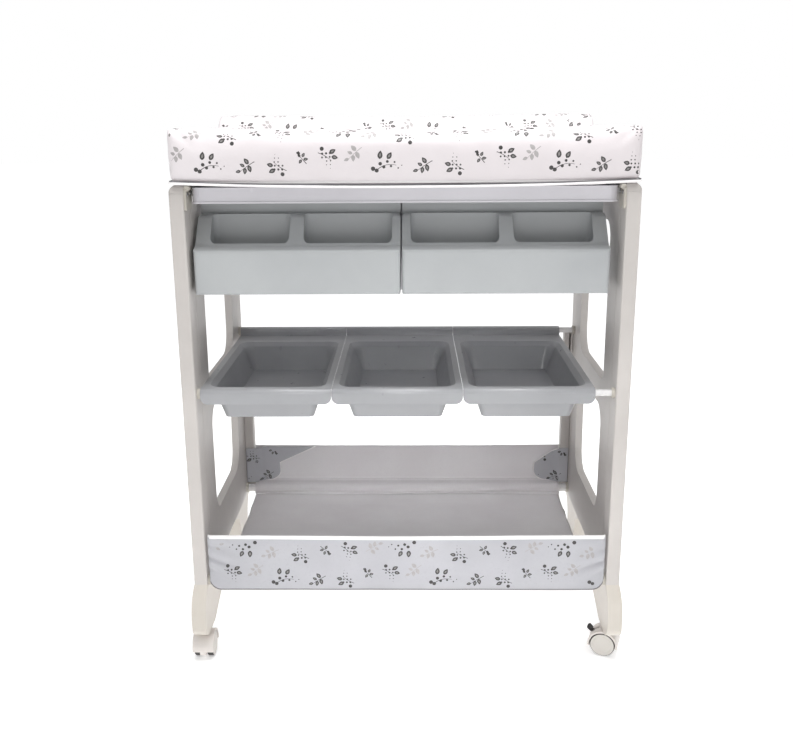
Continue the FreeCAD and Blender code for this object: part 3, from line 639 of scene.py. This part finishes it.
def make_pad():
    pad = pad_start_shape()
    remesh_and_relax(pad, 0.0065 if FULL else 0.009)
    if FULL:
        simulate_filling(pad)
        relax = pad.modifiers.new("Relax", "SMOOTH")
        relax.factor = 0.5
        relax.iterations = 2
    subdivide = pad.modifiers.new("Subdivide", "SUBSURF")
    subdivide.levels = 1
    apply_modifiers(pad)
    shape_by_hand(pad)
    pad.data.materials.clear()
    pad.data.materials.append(FINISHES["mat_cover"])
    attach(pad, "mat")
    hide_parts("mat_base_cushion", "mat_bolster_front", "mat_bolster_rear",
                "mat_bolster_side_left", "mat_bolster_side_right")
    return pad


def lower_edge_path(inset, height):
    """Way round the pad's lower edge; the front stretch sags with the cover."""
    x_end = MAT_HALF - inset
    y_front, y_rear = MAT_FRONT + inset, MAT_REAR - inset
    corners = [(-x_end, y_front, 0.007), (x_end, y_front, 0.007), (x_end, y_rear, 0.007), (-x_end, y_rear, 0.007)]
    loop = rounded_path(corners)
    path = []
    for index, point in enumerate(loop):
        following = loop[(index + 1) % len(loop)]
        pieces = max(1, int((following - point).length / 0.02))
        for piece in range(pieces):
            spot = point.lerp(following, piece / pieces)
            near_front = float(1 - smooth_step(spot.y, MAT_FRONT, MAT_FRONT + 0.03))
            path.append((spot.x, spot.y, height - near_front * float(front_sag(spot.x))))
    return path


def make_mat_trims():
    """Welded edge: a white piping all round, under a thin dark tube that is painted shadow in the seam's groove.
    """
    piping = tube("mat_piping", lower_edge_path(-0.3 * MM, PAD_BOTTOM - 2.2 * MM), 2.1 * MM, PIPING, 10, True)
    # Thin dark tube over the piping: painted shadow in the seam's groove, not a dark seam.
    seam = tube("mat_edge_painted_shadow", lower_edge_path(0.1 * MM, PAD_BOTTOM + 1.2 * MM), 0.8 * MM, EDGE_GROOVE_PAINTED_SHADOW, 8, True)
    for trim in (piping, seam):
        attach(trim, "mat")


def make_mat_underside():
    """Thin cloth under the board, a little baggy along its front edge."""
    board_low, board_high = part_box("mat_board")
    front, rear = board_low.y + 0.002, 0.186
    half = board_high.x - 0.003

    def surface(u, v):
        x = -half + 2 * half * u
        y = front + (rear - front) * v
        bag = math.exp(-((y - front) / 0.02) ** 2)
        lumps = max(0.0, math.sin(x * 42 + 1.0)) * float(smooth_step(x, 0.09, 0.16)) * 0.0022
        drop = 0.9 * MM + bag * (float(front_sag(x)) * 0.25 + lumps) + 0.25 * MM * (1 + float(ripple(x, y, 4.0)))
        return (x, y, board_low.z - drop)

    cloth = thin_sheet("mat_underside", surface, 150, 60, 0.8 * MM, UNDERSIDE)
    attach(cloth, "mat")


# ------------------------------------------------------------------ printed pattern
def leaf_shape(x, y, angle, length, width, tone="dark"):
    """Pointed leaf that starts at (x, y) and points along angle, in millimetres."""
    steps = 6
    points = [(0.0, 0.0)]
    for step in range(1, steps):
        share = step / steps
        half = width / 2 * math.sin(math.pi * share ** 0.8) ** 0.85
        points += [(length * share, half), (length * share, 0.0), (length * share, -half)]
    points.append((length, 0.0))
    tip = len(points) - 1
    faces = [(0, 2, 1), (0, 3, 2)]
    for step in range(steps - 2):
        first = 1 + 3 * step
        faces += [(first, first + 1, first + 4, first + 3), (first + 1, first + 2, first + 5, first + 4)]
    last = tip - 3
    faces += [(last, last + 1, tip), (last + 1, last + 2, tip)]
    rim = [0] + [1 + 3 * step for step in range(steps - 1)] + [tip]
    rim += [3 + 3 * step for step in range(steps - 2, -1, -1)]
    turn = math.radians(angle)
    placed = [(x + a * math.cos(turn) - b * math.sin(turn), y + a * math.sin(turn) + b * math.cos(turn))
              for a, b in points]
    return placed, faces, rim, tone


def leaf(x, y, angle, length, width, tone="dark"):
    """A leaf with a paler blade inside its outline when it is dark."""
    shapes = [leaf_shape(x, y, angle, length, width, tone)]
    if tone == "dark" and length > 7:
        turn = math.radians(angle)
        inner_x, inner_y = x + 0.24 * length * math.cos(turn), y + 0.24 * length * math.sin(turn)
        shapes.append(leaf_shape(inner_x, inner_y, angle, length * 0.5, width * 0.42, "mid"))
    return shapes


def berry(x, y, radius, tone="dark"):
    sides = 12 if radius > 2 else 8
    points = [(x, y)]
    for side in range(sides):
        angle = 2 * math.pi * side / sides
        points.append((x + radius * math.cos(angle), y + radius * math.sin(angle)))
    faces = [(0, 1 + side, 1 + (side + 1) % sides) for side in range(sides)]
    return [(points, faces, list(range(1, sides + 1)), tone)]


def stem(start, bend, stop, width, tone="dark"):
    """Thin tapering stalk along a quadratic curve."""
    steps = 7
    a, b, c = Vector(start), Vector(bend), Vector(stop)
    points = []
    for step in range(steps + 1):
        t = step / steps
        middle = a * (1 - t) ** 2 + b * 2 * t * (1 - t) + c * t ** 2
        ahead = ((b - a) * (1 - t) + (c - b) * t).normalized()
        across = Vector((-ahead.y, ahead.x)) * width / 2 * (1 - 0.6 * t)
        points += [tuple(middle + across), tuple(middle - across)]
    faces = [(2 * step, 2 * step + 1, 2 * step + 3, 2 * step + 2) for step in range(steps)]
    rim = [2 * step for step in range(steps + 1)] + [2 * step + 1 for step in range(steps, -1, -1)]
    return [(points, faces, rim, tone)]


def bough_sprig():
    """Long bowed stalk with a row of shrinking berries and two leaves above."""
    shapes = stem((-19, -13), (-4, 3), (17, -2), 1.3)
    for step in range(9):
        t = step / 8
        rise = 9 * (1 - (2 * t - 1.15) ** 2) - 9
        offset = 4.2 if step % 2 == 0 else -3.4
        shapes += berry(-22 + 48 * t, rise + offset, 3.7 - 2.7 * t)
    return shapes + leaf(-11, 8, 82, 14, 8.5) + leaf(2, 8, 58, 13, 8)


def five_leaf_sprig(tone="dark"):
    shapes = stem((17, 9), (4, 2), (-9, -8), 1.2, tone)
    for x, y, angle, size in ((7, 5, 128, 12), (0, 1, 150, 9), (-7, -6, 195, 9),
                              (1, -1, 262, 11), (7, 3, 283, 12)):
        shapes += leaf(x, y, angle, size, size * 0.6, tone)
    return shapes


def cone_sprig():
    """Berries that thin out to a point, with two leaves to one side."""
    shapes = stem((16, -8), (4, -3), (-5, 6), 1.1)
    for row in range(5):
        size = 1.9 - 0.33 * row
        for place in range(3 if row < 2 else 2 if row < 4 else 1):
            shapes += berry(-4 + 6.5 * place + 0.8 * row - (row > 1) * 1.5, -6 + 6.2 * row, size)
    shapes += berry(9, -14, 3.4)
    return shapes + leaf(-6, 0, 165, 11, 7) + leaf(-3, -6, 205, 12, 7.5)


def small_sprig():
    shapes = stem((8, -9), (2, -2), (-5, 5), 1.3)
    for x, y, angle, size in ((3, -2, 8, 8), (1, 2, 60, 8), (-2, 2, 130, 7), (0, -2, 235, 8), (-4, 5, 100, 7)):
        shapes += leaf(x, y, angle, size, size * 0.62)
    return shapes + berry(-7, 9, 1.7)


SPRIGS = {
    "bough": bough_sprig(), "leaves": five_leaf_sprig(), "pale": five_leaf_sprig("light"),
    "cone": cone_sprig(), "small": small_sprig(),
}
REPEAT = 297.0                 # the cloth's repeat along the roll, in millimetres
ROW_RISE = 102.0               # two rows of sprigs in each repeat across the roll
# sprig, place along the roll, height in the row, turn in degrees
PATTERN = (
    ("pale", 12, 44, 8), ("bough", 68, 28, 0), ("leaves", 128, 24, 0), ("cone", 182, 26, 0),
    ("small", 224, 38, 0), ("cone", 268, 40, 184),
    ("pale", 41, 80, -6), ("cone", 98, 76, 4), ("small", 146, 86, 190), ("cone", 190, 84, 172),
    ("pale", 238, 92, 180), ("bough", 290, 92, 184),
)


def pattern_places(u_low, u_high, v_low, v_high, shift_u, shift_v):
    """Every sprig of the repeat that falls on a stretch of cloth, in millimetres."""
    for row in range(int((v_low - shift_v) // ROW_RISE) - 1, int((v_high - shift_v) // ROW_RISE) + 2):
        drift = shift_u + (row * 127.0) % REPEAT
        for column in range(int((u_low - drift) // REPEAT) - 1, int((u_high - drift) // REPEAT) + 2):
            for kind, along, height, turn in PATTERN:
                u = drift + column * REPEAT + along
                v = shift_v + row * ROW_RISE + height
                if u_low - 30 < u < u_high + 30 and v_low - 25 < v < v_high + 25:
                    yield kind, u, v, turn


class PrintLayer:
    """Thin closed patches of ink laid on a surface by rays, gathered by tone."""

    def __init__(self, target):
        depsgraph = bpy.context.evaluated_depsgraph_get()
        self.tree = BVHTree.FromObject(target, depsgraph)
        self.vertices = {tone: [] for tone in INKS}
        self.faces = {tone: [] for tone in INKS}

    def add_shape(self, shape, centre, turn, ray):
        points, faces, rim, tone = shape
        cosine, sine = math.cos(math.radians(turn)), math.sin(math.radians(turn))
        top, bottom = [], []
        height = 0.16 * MM if tone == "mid" else 0.1 * MM
        for a, b in points:
            origin, direction = ray(centre[0] + a * cosine - b * sine, centre[1] + a * sine + b * cosine)
            if origin is None:
                return
            hit, normal, _, _ = self.tree.ray_cast(origin, direction, 0.06)
            if hit is None or normal.dot(direction) > -0.35:
                return
            top.append(hit - direction * height)
            bottom.append(hit + direction * 0.3 * MM)
        count = len(points)
        first = len(self.vertices[tone])
        self.vertices[tone] += top + bottom
        for face in faces:
            self.faces[tone].append(tuple(first + index for index in face))
            self.faces[tone].append(tuple(first + count + index for index in reversed(face)))
        for index, here in enumerate(rim):
            beside = rim[(index + 1) % len(rim)]
            self.faces[tone].append((first + here, first + beside, first + count + beside, first + count + here))

    def cover(self, ray, u_range, v_range, shift):
        for kind, u, v, turn in pattern_places(*u_range, *v_range, *shift):
            for shape in SPRIGS[kind]:
                self.add_shape(shape, (u, v), turn, ray)

    def make(self, name, body):
        made = []
        for tone, material in INKS.items():
            if not self.vertices[tone]:
                continue
            layer = mesh_object(f"{name}_{tone}", self.vertices[tone], self.faces[tone], material, False)
            turn_faces_out(layer)
            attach(layer, body)
            made.append(layer)
        return made


def profile_rays(profile, place, u_range, outward):
    """Rays onto a profile swept along a line: v runs along the profile, u along the line, in millimetres."""
    points = [Vector(point) for point in profile]
    tangents = [(after - before).normalized() for before, after in zip(points, points[1:])]
    normals = []
    for index in range(len(points)):
        near = tangents[max(0, index - 1)] + tangents[min(index, len(tangents) - 1)]
        normals.append(Vector((-near.y, near.x)).normalized() * outward)
    lengths = [0.0]
    for before, after in zip(points, points[1:]):
        lengths.append(lengths[-1] + (after - before).length)

    def ray(u, v):
        way = v * MM
        if not 0 <= way <= lengths[-1] or not u_range[0] <= u <= u_range[1]:
            return None, None
        index = max(0, min(len(points) - 2, int(np.searchsorted(lengths, way)) - 1))
        share = (way - lengths[index]) / max(lengths[index + 1] - lengths[index], 1e-9)
        spot = points[index].lerp(points[index + 1], share)
        normal = normals[index].lerp(normals[index + 1], share).normalized()
        out = spot + normal * 0.02
        start = Vector(place(u * MM, out.x, out.y))
        target = Vector(place(u * MM, spot.x, spot.y))
        return start, (target - start).normalized()

    return ray, lengths[-1] / MM


def print_mat(pad):
    layer = PrintLayer(pad)
    half = MAT_HALF / MM - 2
    front = rounded_path([(MAT_FRONT, PAD_BOTTOM + 0.004, 0), (MAT_FRONT, FRONT_TOP, 0.02),
                          (MAT_FRONT + 0.044, FRONT_TOP, 0.02), (WELL_LOW.y - 0.002, LYING_TOP + 0.004, 0)], False)
    ray, length = profile_rays(front, lambda u, a, b: (u, a, b), (-half, half), 1)
    layer.cover(ray, (-half, half), (0, length), (-half, -4.0))
    rear = rounded_path([(WELL_HIGH.y + 0.002, LYING_TOP + 0.004, 0), (MAT_REAR - 0.048, REAR_TOP, 0.024),
                         (MAT_REAR, REAR_TOP, 0.016), (MAT_REAR, PAD_BOTTOM + 0.004, 0)], False)
    ray, length = profile_rays(rear, lambda u, a, b: (u, a, b), (-half, half), 1)
    layer.cover(ray, (-half, half), (0, length), (-half + 90, 10.0))
    side = rounded_path([(MAT_HALF, PAD_BOTTOM + 0.004, 0), (MAT_HALF, SIDE_TOP, 0.014),
                         (MAT_HALF - 0.04, SIDE_TOP, 0.024), (WELL_HIGH.x + 0.002, LYING_TOP + 0.004, 0)], False)
    for sign in (-1, 1):
        span = (-203.0, 198.0)
        ray, length = profile_rays(side, lambda u, a, b, sign=sign: (sign * a, u, b), span, -1)
        layer.cover(ray, span, (0, length), (20.0 * sign, 2.0))
    well = [(WELL_LOW.y + 0.006, LYING_TOP), (WELL_HIGH.y - 0.006, LYING_TOP)]
    span = (WELL_LOW.x / MM + 6, WELL_HIGH.x / MM - 6)
    ray, length = profile_rays(well, lambda u, a, b: (u, a, b), span, 1)
    layer.cover(ray, span, (0, length), (30.0, 5.0))
    layer.make("mat_print", "mat")


# ------------------------------------------------------------------ fabric basket
PANEL_LOW, PANEL_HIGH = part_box("basket_front_panel")
PANEL_MIDDLE_Y = (PANEL_LOW.y + PANEL_HIGH.y) / 2
CLOTH_HALF = PANEL_HIGH.x + 0.011      # the cloth is drawn out to the end frames
BACK_LOW, BACK_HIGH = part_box("basket_back_panel")
FLOOR_LOW, FLOOR_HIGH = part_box("basket_floor")
REAR_TUBE_LOW, REAR_TUBE_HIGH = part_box("basket_tube_rear")
REAR_TUBE_Y = (REAR_TUBE_LOW.y + REAR_TUBE_HIGH.y) / 2
REAR_TUBE_Z = (REAR_TUBE_LOW.z + REAR_TUBE_HIGH.z) / 2
LOWER_CORNER = 0.022           # rounding of the front panel's lower corners
CURL = 0.004                   # radius of the turned-back ends of the front panel


def fold(x, z, start, stop, width, height):
    """Height of one soft fold that runs from start to stop and dies out."""
    start, stop, point = Vector(start), Vector(stop), Vector((x, z))
    along = stop - start
    share = max(0.0, min(1.0, (point - start).dot(along) / along.length_squared))
    away = (point - start - along * share).length
    return height * (1 - share) * math.exp(-(away / width) ** 2)


def front_folds(x, z):
    """Folds that fan out from the gathered ends of the front panel."""
    total = 0.0
    for side, lean in ((-1, 0.0), (1, 0.006)):
        edge = side * (CLOTH_HALF - 0.004)
        inner = side * (CLOTH_HALF - 0.08)
        top, low = PANEL_HIGH.z - 0.012 - lean, PANEL_LOW.z
        total += fold(x, z, (edge, top), (inner, top - 0.012), 0.007, -0.0042)
        total += fold(x, z, (edge, top - 0.022), (inner, top - 0.048), 0.008, -0.0046)
        total += fold(x, z, (edge, top - 0.045), (inner + side * 0.02, low + 0.018), 0.008, -0.0044)
        total += fold(x, z, (edge, top - 0.034), (inner, top - 0.066), 0.006, 0.0026)
        total += fold(x, z, (edge, low + 0.042), (inner + side * 0.03, low + 0.01), 0.006, 0.0024)
    return total


def front_panel_surface(u, v):
    half = CLOTH_HALF
    flat_half = half - CURL
    way = (2 * u - 1) * (flat_half + CURL * math.pi / 2)
    side = 1 if way > 0 else -1
    beyond = max(0.0, abs(way) - flat_half)
    angle = beyond / CURL
    x = side * (min(abs(way), flat_half) + CURL * math.sin(angle))
    y = PANEL_MIDDLE_Y + CURL * (1 - math.cos(angle))
    corner = max(0.0, abs(x) - (half - LOWER_CORNER))
    low = PANEL_LOW.z + LOWER_CORNER - math.sqrt(max(0.0, LOWER_CORNER ** 2 - corner ** 2))
    high = PANEL_HIGH.z - 0.0035 - 0.001 * math.cos(x * 9)
    z = low + (high - low) * v
    flat = 1 - float(smooth_step(v, 0.9, 1.0)) * 0.7
    y += (front_folds(x, z) + 0.0007 * float(ripple(x * 0.5, z, 1.0))) * flat
    return (x, y, z)


def front_edge_path(v, shift, count=120, inset=0.0):
    path = []
    for step in range(count + 1):
        u = inset + (1 - 2 * inset) * step / count
        x, y, z = front_panel_surface(u, v)
        path.append((x, y + shift[0], z + shift[1]))
    return path


def make_basket_front():
    cloth = thin_sheet("basket_front_cloth", front_panel_surface, 260, 44, 2.6 * MM, FINISHES["basket_cloth"])
    rings = []
    for x, y, z in front_edge_path(1.0, (0.0, 0.0)):
        ring = rounded_path([(y - 2.7 * MM, z - 4.0 * MM, 0.0008), (y - 2.7 * MM, z + 2.6 * MM, 0.0024),
                             (y + 2.7 * MM, z + 2.6 * MM, 0.0024), (y + 2.7 * MM, z - 4.0 * MM, 0.0008)])
        rings.append([(x, a, b) for a, b in ring])
    binding = loft("basket_front_binding", rings, PIPING)
    # The lower hem tube uses the same dark cloth: painted shade along the panel's lower edge.
    hem = tube("basket_front_hem", front_edge_path(0.0, (-0.5 * MM, 0.2 * MM), 160), 1.5 * MM, HEM_PAINTED_SHADE, 8)
    for piece in (cloth, binding, hem):
        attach(piece, "frame")
    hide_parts("basket_front_panel")
    return cloth


def make_basket_back():
    low, high = BACK_LOW.z + 0.002, BACK_HIGH.z - 0.002
    half = BACK_HIGH.x - 0.0006
    middle = (BACK_LOW.y + BACK_HIGH.y) / 2

    def surface(u, v):
        x = -half + 2 * half * u
        z = low + (high - low) * v - 0.0015 * math.sin(math.pi * u) * v
        return (x, middle + 0.0008 * float(ripple(x * 0.4, z, 3.0)), z)

    cloth = thin_sheet("basket_back_cloth", surface, 160, 24, 2.2 * MM, LINING)
    top = [surface(step / 90, 1.0) for step in range(91)]
    binding = tube("basket_back_binding", top, 2.0 * MM, LINING, 10)
    for piece in (cloth, binding):
        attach(piece, "frame")
    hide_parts("basket_back_panel")
    return cloth


POST_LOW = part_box("rear_post_right")[0]
FLAP_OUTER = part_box("end_frame_right")[0].x - 0.001
FLAP_TIP = 0.296               # how far in the rounded end of a flap reaches
FLAP_LOW = 0.1965
FLAP_SHOULDER = 0.241          # where the rounded end turns into the slanting edge


def flap_edge(z, top_x):
    """Distance of a flap's inner edge from the middle plane at height z."""
    if z < FLAP_SHOULDER:
        centre = 0.221
        share = min(1.0, abs(z - centre) / (centre - FLAP_LOW))
        return FLAP_TIP + 0.036 * (1 - math.sqrt(1 - share ** 2)) * (1.0 if z < centre else 0.08)
    share = (z - FLAP_SHOULDER) / (BACK_HIGH.z - 0.003 - FLAP_SHOULDER)
    start = flap_edge(FLAP_SHOULDER - 1e-6, top_x)
    return start + (top_x - start) * share


def make_flap(name, side, top_x):
    """End of the printed outer cloth, folded in round the rear post."""
    high = BACK_HIGH.z - 0.003

    def surface(u, v):
        z = FLAP_LOW + (high - FLAP_LOW) * v
        inner = flap_edge(z, top_x)
        x = FLAP_OUTER + (inner - FLAP_OUTER) * u
        step_back = float(smooth_step(x, 0.335, POST_LOW.x - 0.0015))
        y = BACK_LOW.y - 1.0 * MM - step_back * (BACK_LOW.y - POST_LOW.y + 2.0 * MM - 1.0 * MM)
        y -= 0.0007 * (1 + float(ripple(x * 1.6, z * 1.4, side * 2.0)))
        return (side * x, y, z)

    cloth = thin_sheet(name, surface, 40, 36, 1.2 * MM, FINISHES["basket_cloth"])
    edge = [surface(1.0, step / 40) for step in range(41)]
    piping = tube(name + "_piping", [(x, y - 0.3 * MM, z) for x, y, z in edge], 1.5 * MM, PIPING, 8)
    for piece in (cloth, piping):
        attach(piece, "frame")
    mean = sum(FLAP_OUTER - flap_edge(FLAP_LOW + (high - FLAP_LOW) * k / 20, top_x) for k in range(21)) / 21
    return cloth


def floor_height(y, x):
    """Height of the basket floor: under the front tube, a shallow sag, then up to the rear tube."""
    rear_rise = float(smooth_step(y, 0.15, 0.196)) * 0.0075
    sag = 0.0026 * math.cos(min(1.0, abs(x) / 0.36) * math.pi / 2) * math.sin(math.pi * (y + 0.236) / 0.43)
    waves = 0.0006 * float(ripple(x * 0.35, y * 0.7, 5.0))
    edge_lift = 0.0012 * float(smooth_step(abs(x), 0.31, 0.352)) * math.sin(y * 55)
    return 0.1672 + rear_rise - sag + waves + edge_lift


def make_basket_floor():
    half = FLOOR_HIGH.x
    front, rear = FLOOR_LOW.y + 0.001, REAR_TUBE_Y - 0.0115

    def surface(u, v):
        x = -half + 2 * half * u
        y = front + (rear - front) * v
        return (x, y, floor_height(y, x))

    cloth = thin_sheet("basket_floor_cloth", surface, 150, 90, 1.4 * MM, LINING)
    pieces = [cloth]
    for side in (-1, 1):
        name = "right" if side > 0 else "left"

        def hem_surface(u, v, side=side):
            y = front + 0.01 + (rear - front - 0.02) * u
            drop = 0.007 + 0.0025 * math.sin(y * 37 + side) + 0.0012 * math.sin(y * 90)
            x = half - 0.0006 + v * (0.0022 + 0.0012 * math.sin(y * 60 + side))
            return (side * x, y, floor_height(y, half) - drop * v)

        # Dark turned-down hem: painted shade under the floor's side edges.
        hem = thin_sheet(f"basket_floor_hem_{name}", hem_surface, 70, 5, 1.1 * MM, HEM_PAINTED_SHADE)
        pieces.append(hem)
    for piece in pieces:
        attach(piece, "frame")
    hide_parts("basket_floor")
    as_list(pieces[1:])


def make_rear_sleeve():
    """Cloth that runs from the back panel over the rear tube and down to the floor, in long folds."""
    profile = rounded_path([
        (BACK_LOW.y + 0.001, BACK_LOW.z + 0.004, 0), (BACK_LOW.y - 0.003, REAR_TUBE_Z + 0.0104, 0.004),
        (REAR_TUBE_Y - 0.0105, REAR_TUBE_Z + 0.0104, 0.009), (REAR_TUBE_Y - 0.0105, REAR_TUBE_Z - 0.002, 0.004),
        (REAR_TUBE_Y - 0.0072, REAR_TUBE_Z - 0.0062, 0.0018), (REAR_TUBE_Y - 0.0125, REAR_TUBE_Z - 0.0085, 0.002),
        (REAR_TUBE_Y - 0.0112, 0.1745, 0)], False, 5)
    half = POST_LOW.x - 0.0015
    count = len(profile) - 1

    def surface(u, v):
        x = -half + 2 * half * u
        place = v * count
        index = min(count - 1, int(place))
        spot = profile[index].lerp(profile[index + 1], place - index)
        wander = 0.0011 * math.sin(x * 14 + v * 7) + 0.0006 * math.sin(x * 37 + v * 19)
        loose = float(smooth_step(v, 0.3, 0.7))
        return (x, spot.x - 0.0006 + wander * loose, spot.y + 0.7 * wander * loose)

    cloth = thin_sheet("basket_rear_sleeve", surface, 130, count * 2, 1.1 * MM, LINING)
    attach(cloth, "frame")


def make_front_sleeve():
    """Cloth tunnel round the front tube, behind the front panel."""
    low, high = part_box("basket_tube_front")
    centre_y, centre_z = (low.y + high.y) / 2, (low.z + high.z) / 2
    radius = (high.y - low.y) / 2 + 1.1 * MM
    half = 0.3525

    def surface(u, v):
        x = -half + 2 * half * u
        angle = math.radians(-95 + 290 * v)
        slack = radius + 0.0005 * (1 + math.sin(x * 40 + v * 12))
        return (x, centre_y + slack * math.cos(angle), centre_z + slack * math.sin(angle))

    cloth = thin_sheet("basket_front_sleeve", surface, 120, 28, 0.8 * MM, LINING)
    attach(cloth, "frame")


def print_basket(front, back, flaps):
    half = (PANEL_HIGH.x / MM) - 3
    layer = PrintLayer(front)
    face = [(PANEL_LOW.y, PANEL_LOW.z + 0.003), (PANEL_LOW.y, PANEL_HIGH.z - 0.009)]
    ray, length = profile_rays(face, lambda u, a, b: (u, a, b), (-half, half), 1)
    layer.cover(ray, (-half, half), (0, length), (-half + 60, -8.0))
    layer.make("basket_front_print", "frame")
    layer = PrintLayer(back)
    face = [(BACK_HIGH.y, BACK_LOW.z + 0.004), (BACK_HIGH.y, BACK_HIGH.z - 0.006)]
    ray, length = profile_rays(face, lambda u, a, b: (-u, a, b), (-half, half), -1)
    layer.cover(ray, (-half, half), (0, length), (-half + 170, 4.0))
    layer.make("basket_back_print", "frame")
    for side, flap in zip((-1, 1), flaps):
        layer = PrintLayer(flap)
        face = [(POST_LOW.y - 0.004, FLAP_LOW + 0.002), (POST_LOW.y - 0.004, BACK_HIGH.z - 0.006)]
        ray, length = profile_rays(face, lambda u, a, b: (u, a, b), (-375, 375), 1)
        span = (-374, -298) if side < 0 else (298, 374)
        layer.cover(ray, span, (0, length), (span[0] - 84, -14.0))
        layer.make(flap.name + "_print", "frame")


# ------------------------------------------------------------------ stage, camera and light
def make_camera():
    """Standing viewer a little over the mat's height, looking slightly down."""
    yaw, pitch, roll = 0.0159, 0.2586, -0.0069
    ahead = Vector((-math.sin(yaw) * math.cos(pitch), math.cos(yaw) * math.cos(pitch), -math.sin(pitch)))
    right = Vector((math.cos(yaw), math.sin(yaw), 0))
    up = right.cross(ahead)
    tilted_right = right * math.cos(roll) + up * math.sin(roll)
    tilted_up = up * math.cos(roll) - right * math.sin(roll)
    camera = bpy.data.objects.new("camera", bpy.data.cameras.new("camera"))
    camera.data.lens = 43.09
    camera.data.clip_start = 0.05
    axes = Matrix((tilted_right, tilted_up, -ahead)).transposed().to_4x4()
    camera.matrix_world = Matrix.Translation((0.01057, -1.86705, 1.02853)) @ axes
    scene.collection.objects.link(camera)
    scene.camera = camera


def make_stage():
    finish = Finish("studio_floor", "f7f7f7", "fcfcfc", 1.5, (0.7, 0.8),
                    Emission_Color=(1, 1, 1, 1), Emission_Strength=0.42)
    size = 20.0
    corners = [(-size, -size, 0), (size, -size, 0), (size, size, 0), (-size, size, 0)]
    floor = mesh_object("studio_floor", corners, [(0, 1, 2, 3)], finish.done(), False)


def area_light(name, place, aim, size, power, spread=180):
    light = bpy.data.lights.new(name, "AREA")
    light.shape = "DISK"
    light.size = size
    light.energy = power
    light.spread = math.radians(spread)
    lamp = bpy.data.objects.new(name, light)
    lamp.location = place
    lamp.rotation_euler = (Vector(aim) - Vector(place)).to_track_quat("-Z", "Y").to_euler()
    scene.collection.objects.link(lamp)


def make_lights():
    world = bpy.data.worlds.new("studio")
    world.use_nodes = True
    scene.world = world
    tree = world.node_tree
    ambient = tree.nodes["Background"]
    ambient.inputs["Color"].default_value = (1, 1, 1, 1)
    direction = tree.nodes.new("ShaderNodeTexCoord")
    split = tree.nodes.new("ShaderNodeSeparateXYZ")
    tree.links.new(direction.outputs["Generated"], split.inputs["Vector"])
    bright = tree.nodes.new("ShaderNodeMapRange")
    bright.inputs["From Min"].default_value = 0.05
    bright.inputs["From Max"].default_value = 0.95
    bright.inputs["To Min"].default_value = 0.25
    bright.inputs["To Max"].default_value = 0.85
    tree.links.new(split.outputs["Z"], bright.inputs["Value"])
    tree.links.new(bright.outputs["Result"], ambient.inputs["Strength"])
    backdrop = tree.nodes.new("ShaderNodeBackground")
    backdrop.inputs["Color"].default_value = (1, 1, 1, 1)
    backdrop.inputs["Strength"].default_value = 1.0
    path = tree.nodes.new("ShaderNodeLightPath")
    choice = tree.nodes.new("ShaderNodeMixShader")
    tree.links.new(path.outputs["Is Camera Ray"], choice.inputs["Fac"])
    tree.links.new(ambient.outputs["Background"], choice.inputs[1])
    tree.links.new(backdrop.outputs["Background"], choice.inputs[2])
    tree.links.new(choice.outputs["Shader"], tree.nodes["World Output"].inputs["Surface"])
    area_light("overhead", (0.15, -0.5, 3.1), (0, -0.05, 0.7), 1.2, 54)
    area_light("front_left", (-1.8, -2.8, 1.9), (0, 0, 0.5), 1.8, 3)
    area_light("front_low", (0.6, -2.6, 0.55), (0, 0.2, 0.3), 1.6, 3)
    area_light("into_basket", (0.2, -2.5, 1.1), (0, 0.2, 0.2), 0.5, 0.33, 22)
    scene.view_settings.view_transform = "Standard"


# ------------------------------------------------------------------ build everything
make_camera()
make_stage()
make_lights()
finish_cad_nodes()

mat_pad = make_pad()
make_mat_trims()
make_mat_underside()
print_mat(mat_pad)

front_cloth = make_basket_front()
back_cloth = make_basket_back()
left_flap = make_flap("basket_flap_left", -1, 0.214)
right_flap = make_flap("basket_flap_right", 1, 0.352)
make_basket_floor()
make_rear_sleeve()
make_front_sleeve()
print_basket(front_cloth, back_cloth, (left_flap, right_flap))
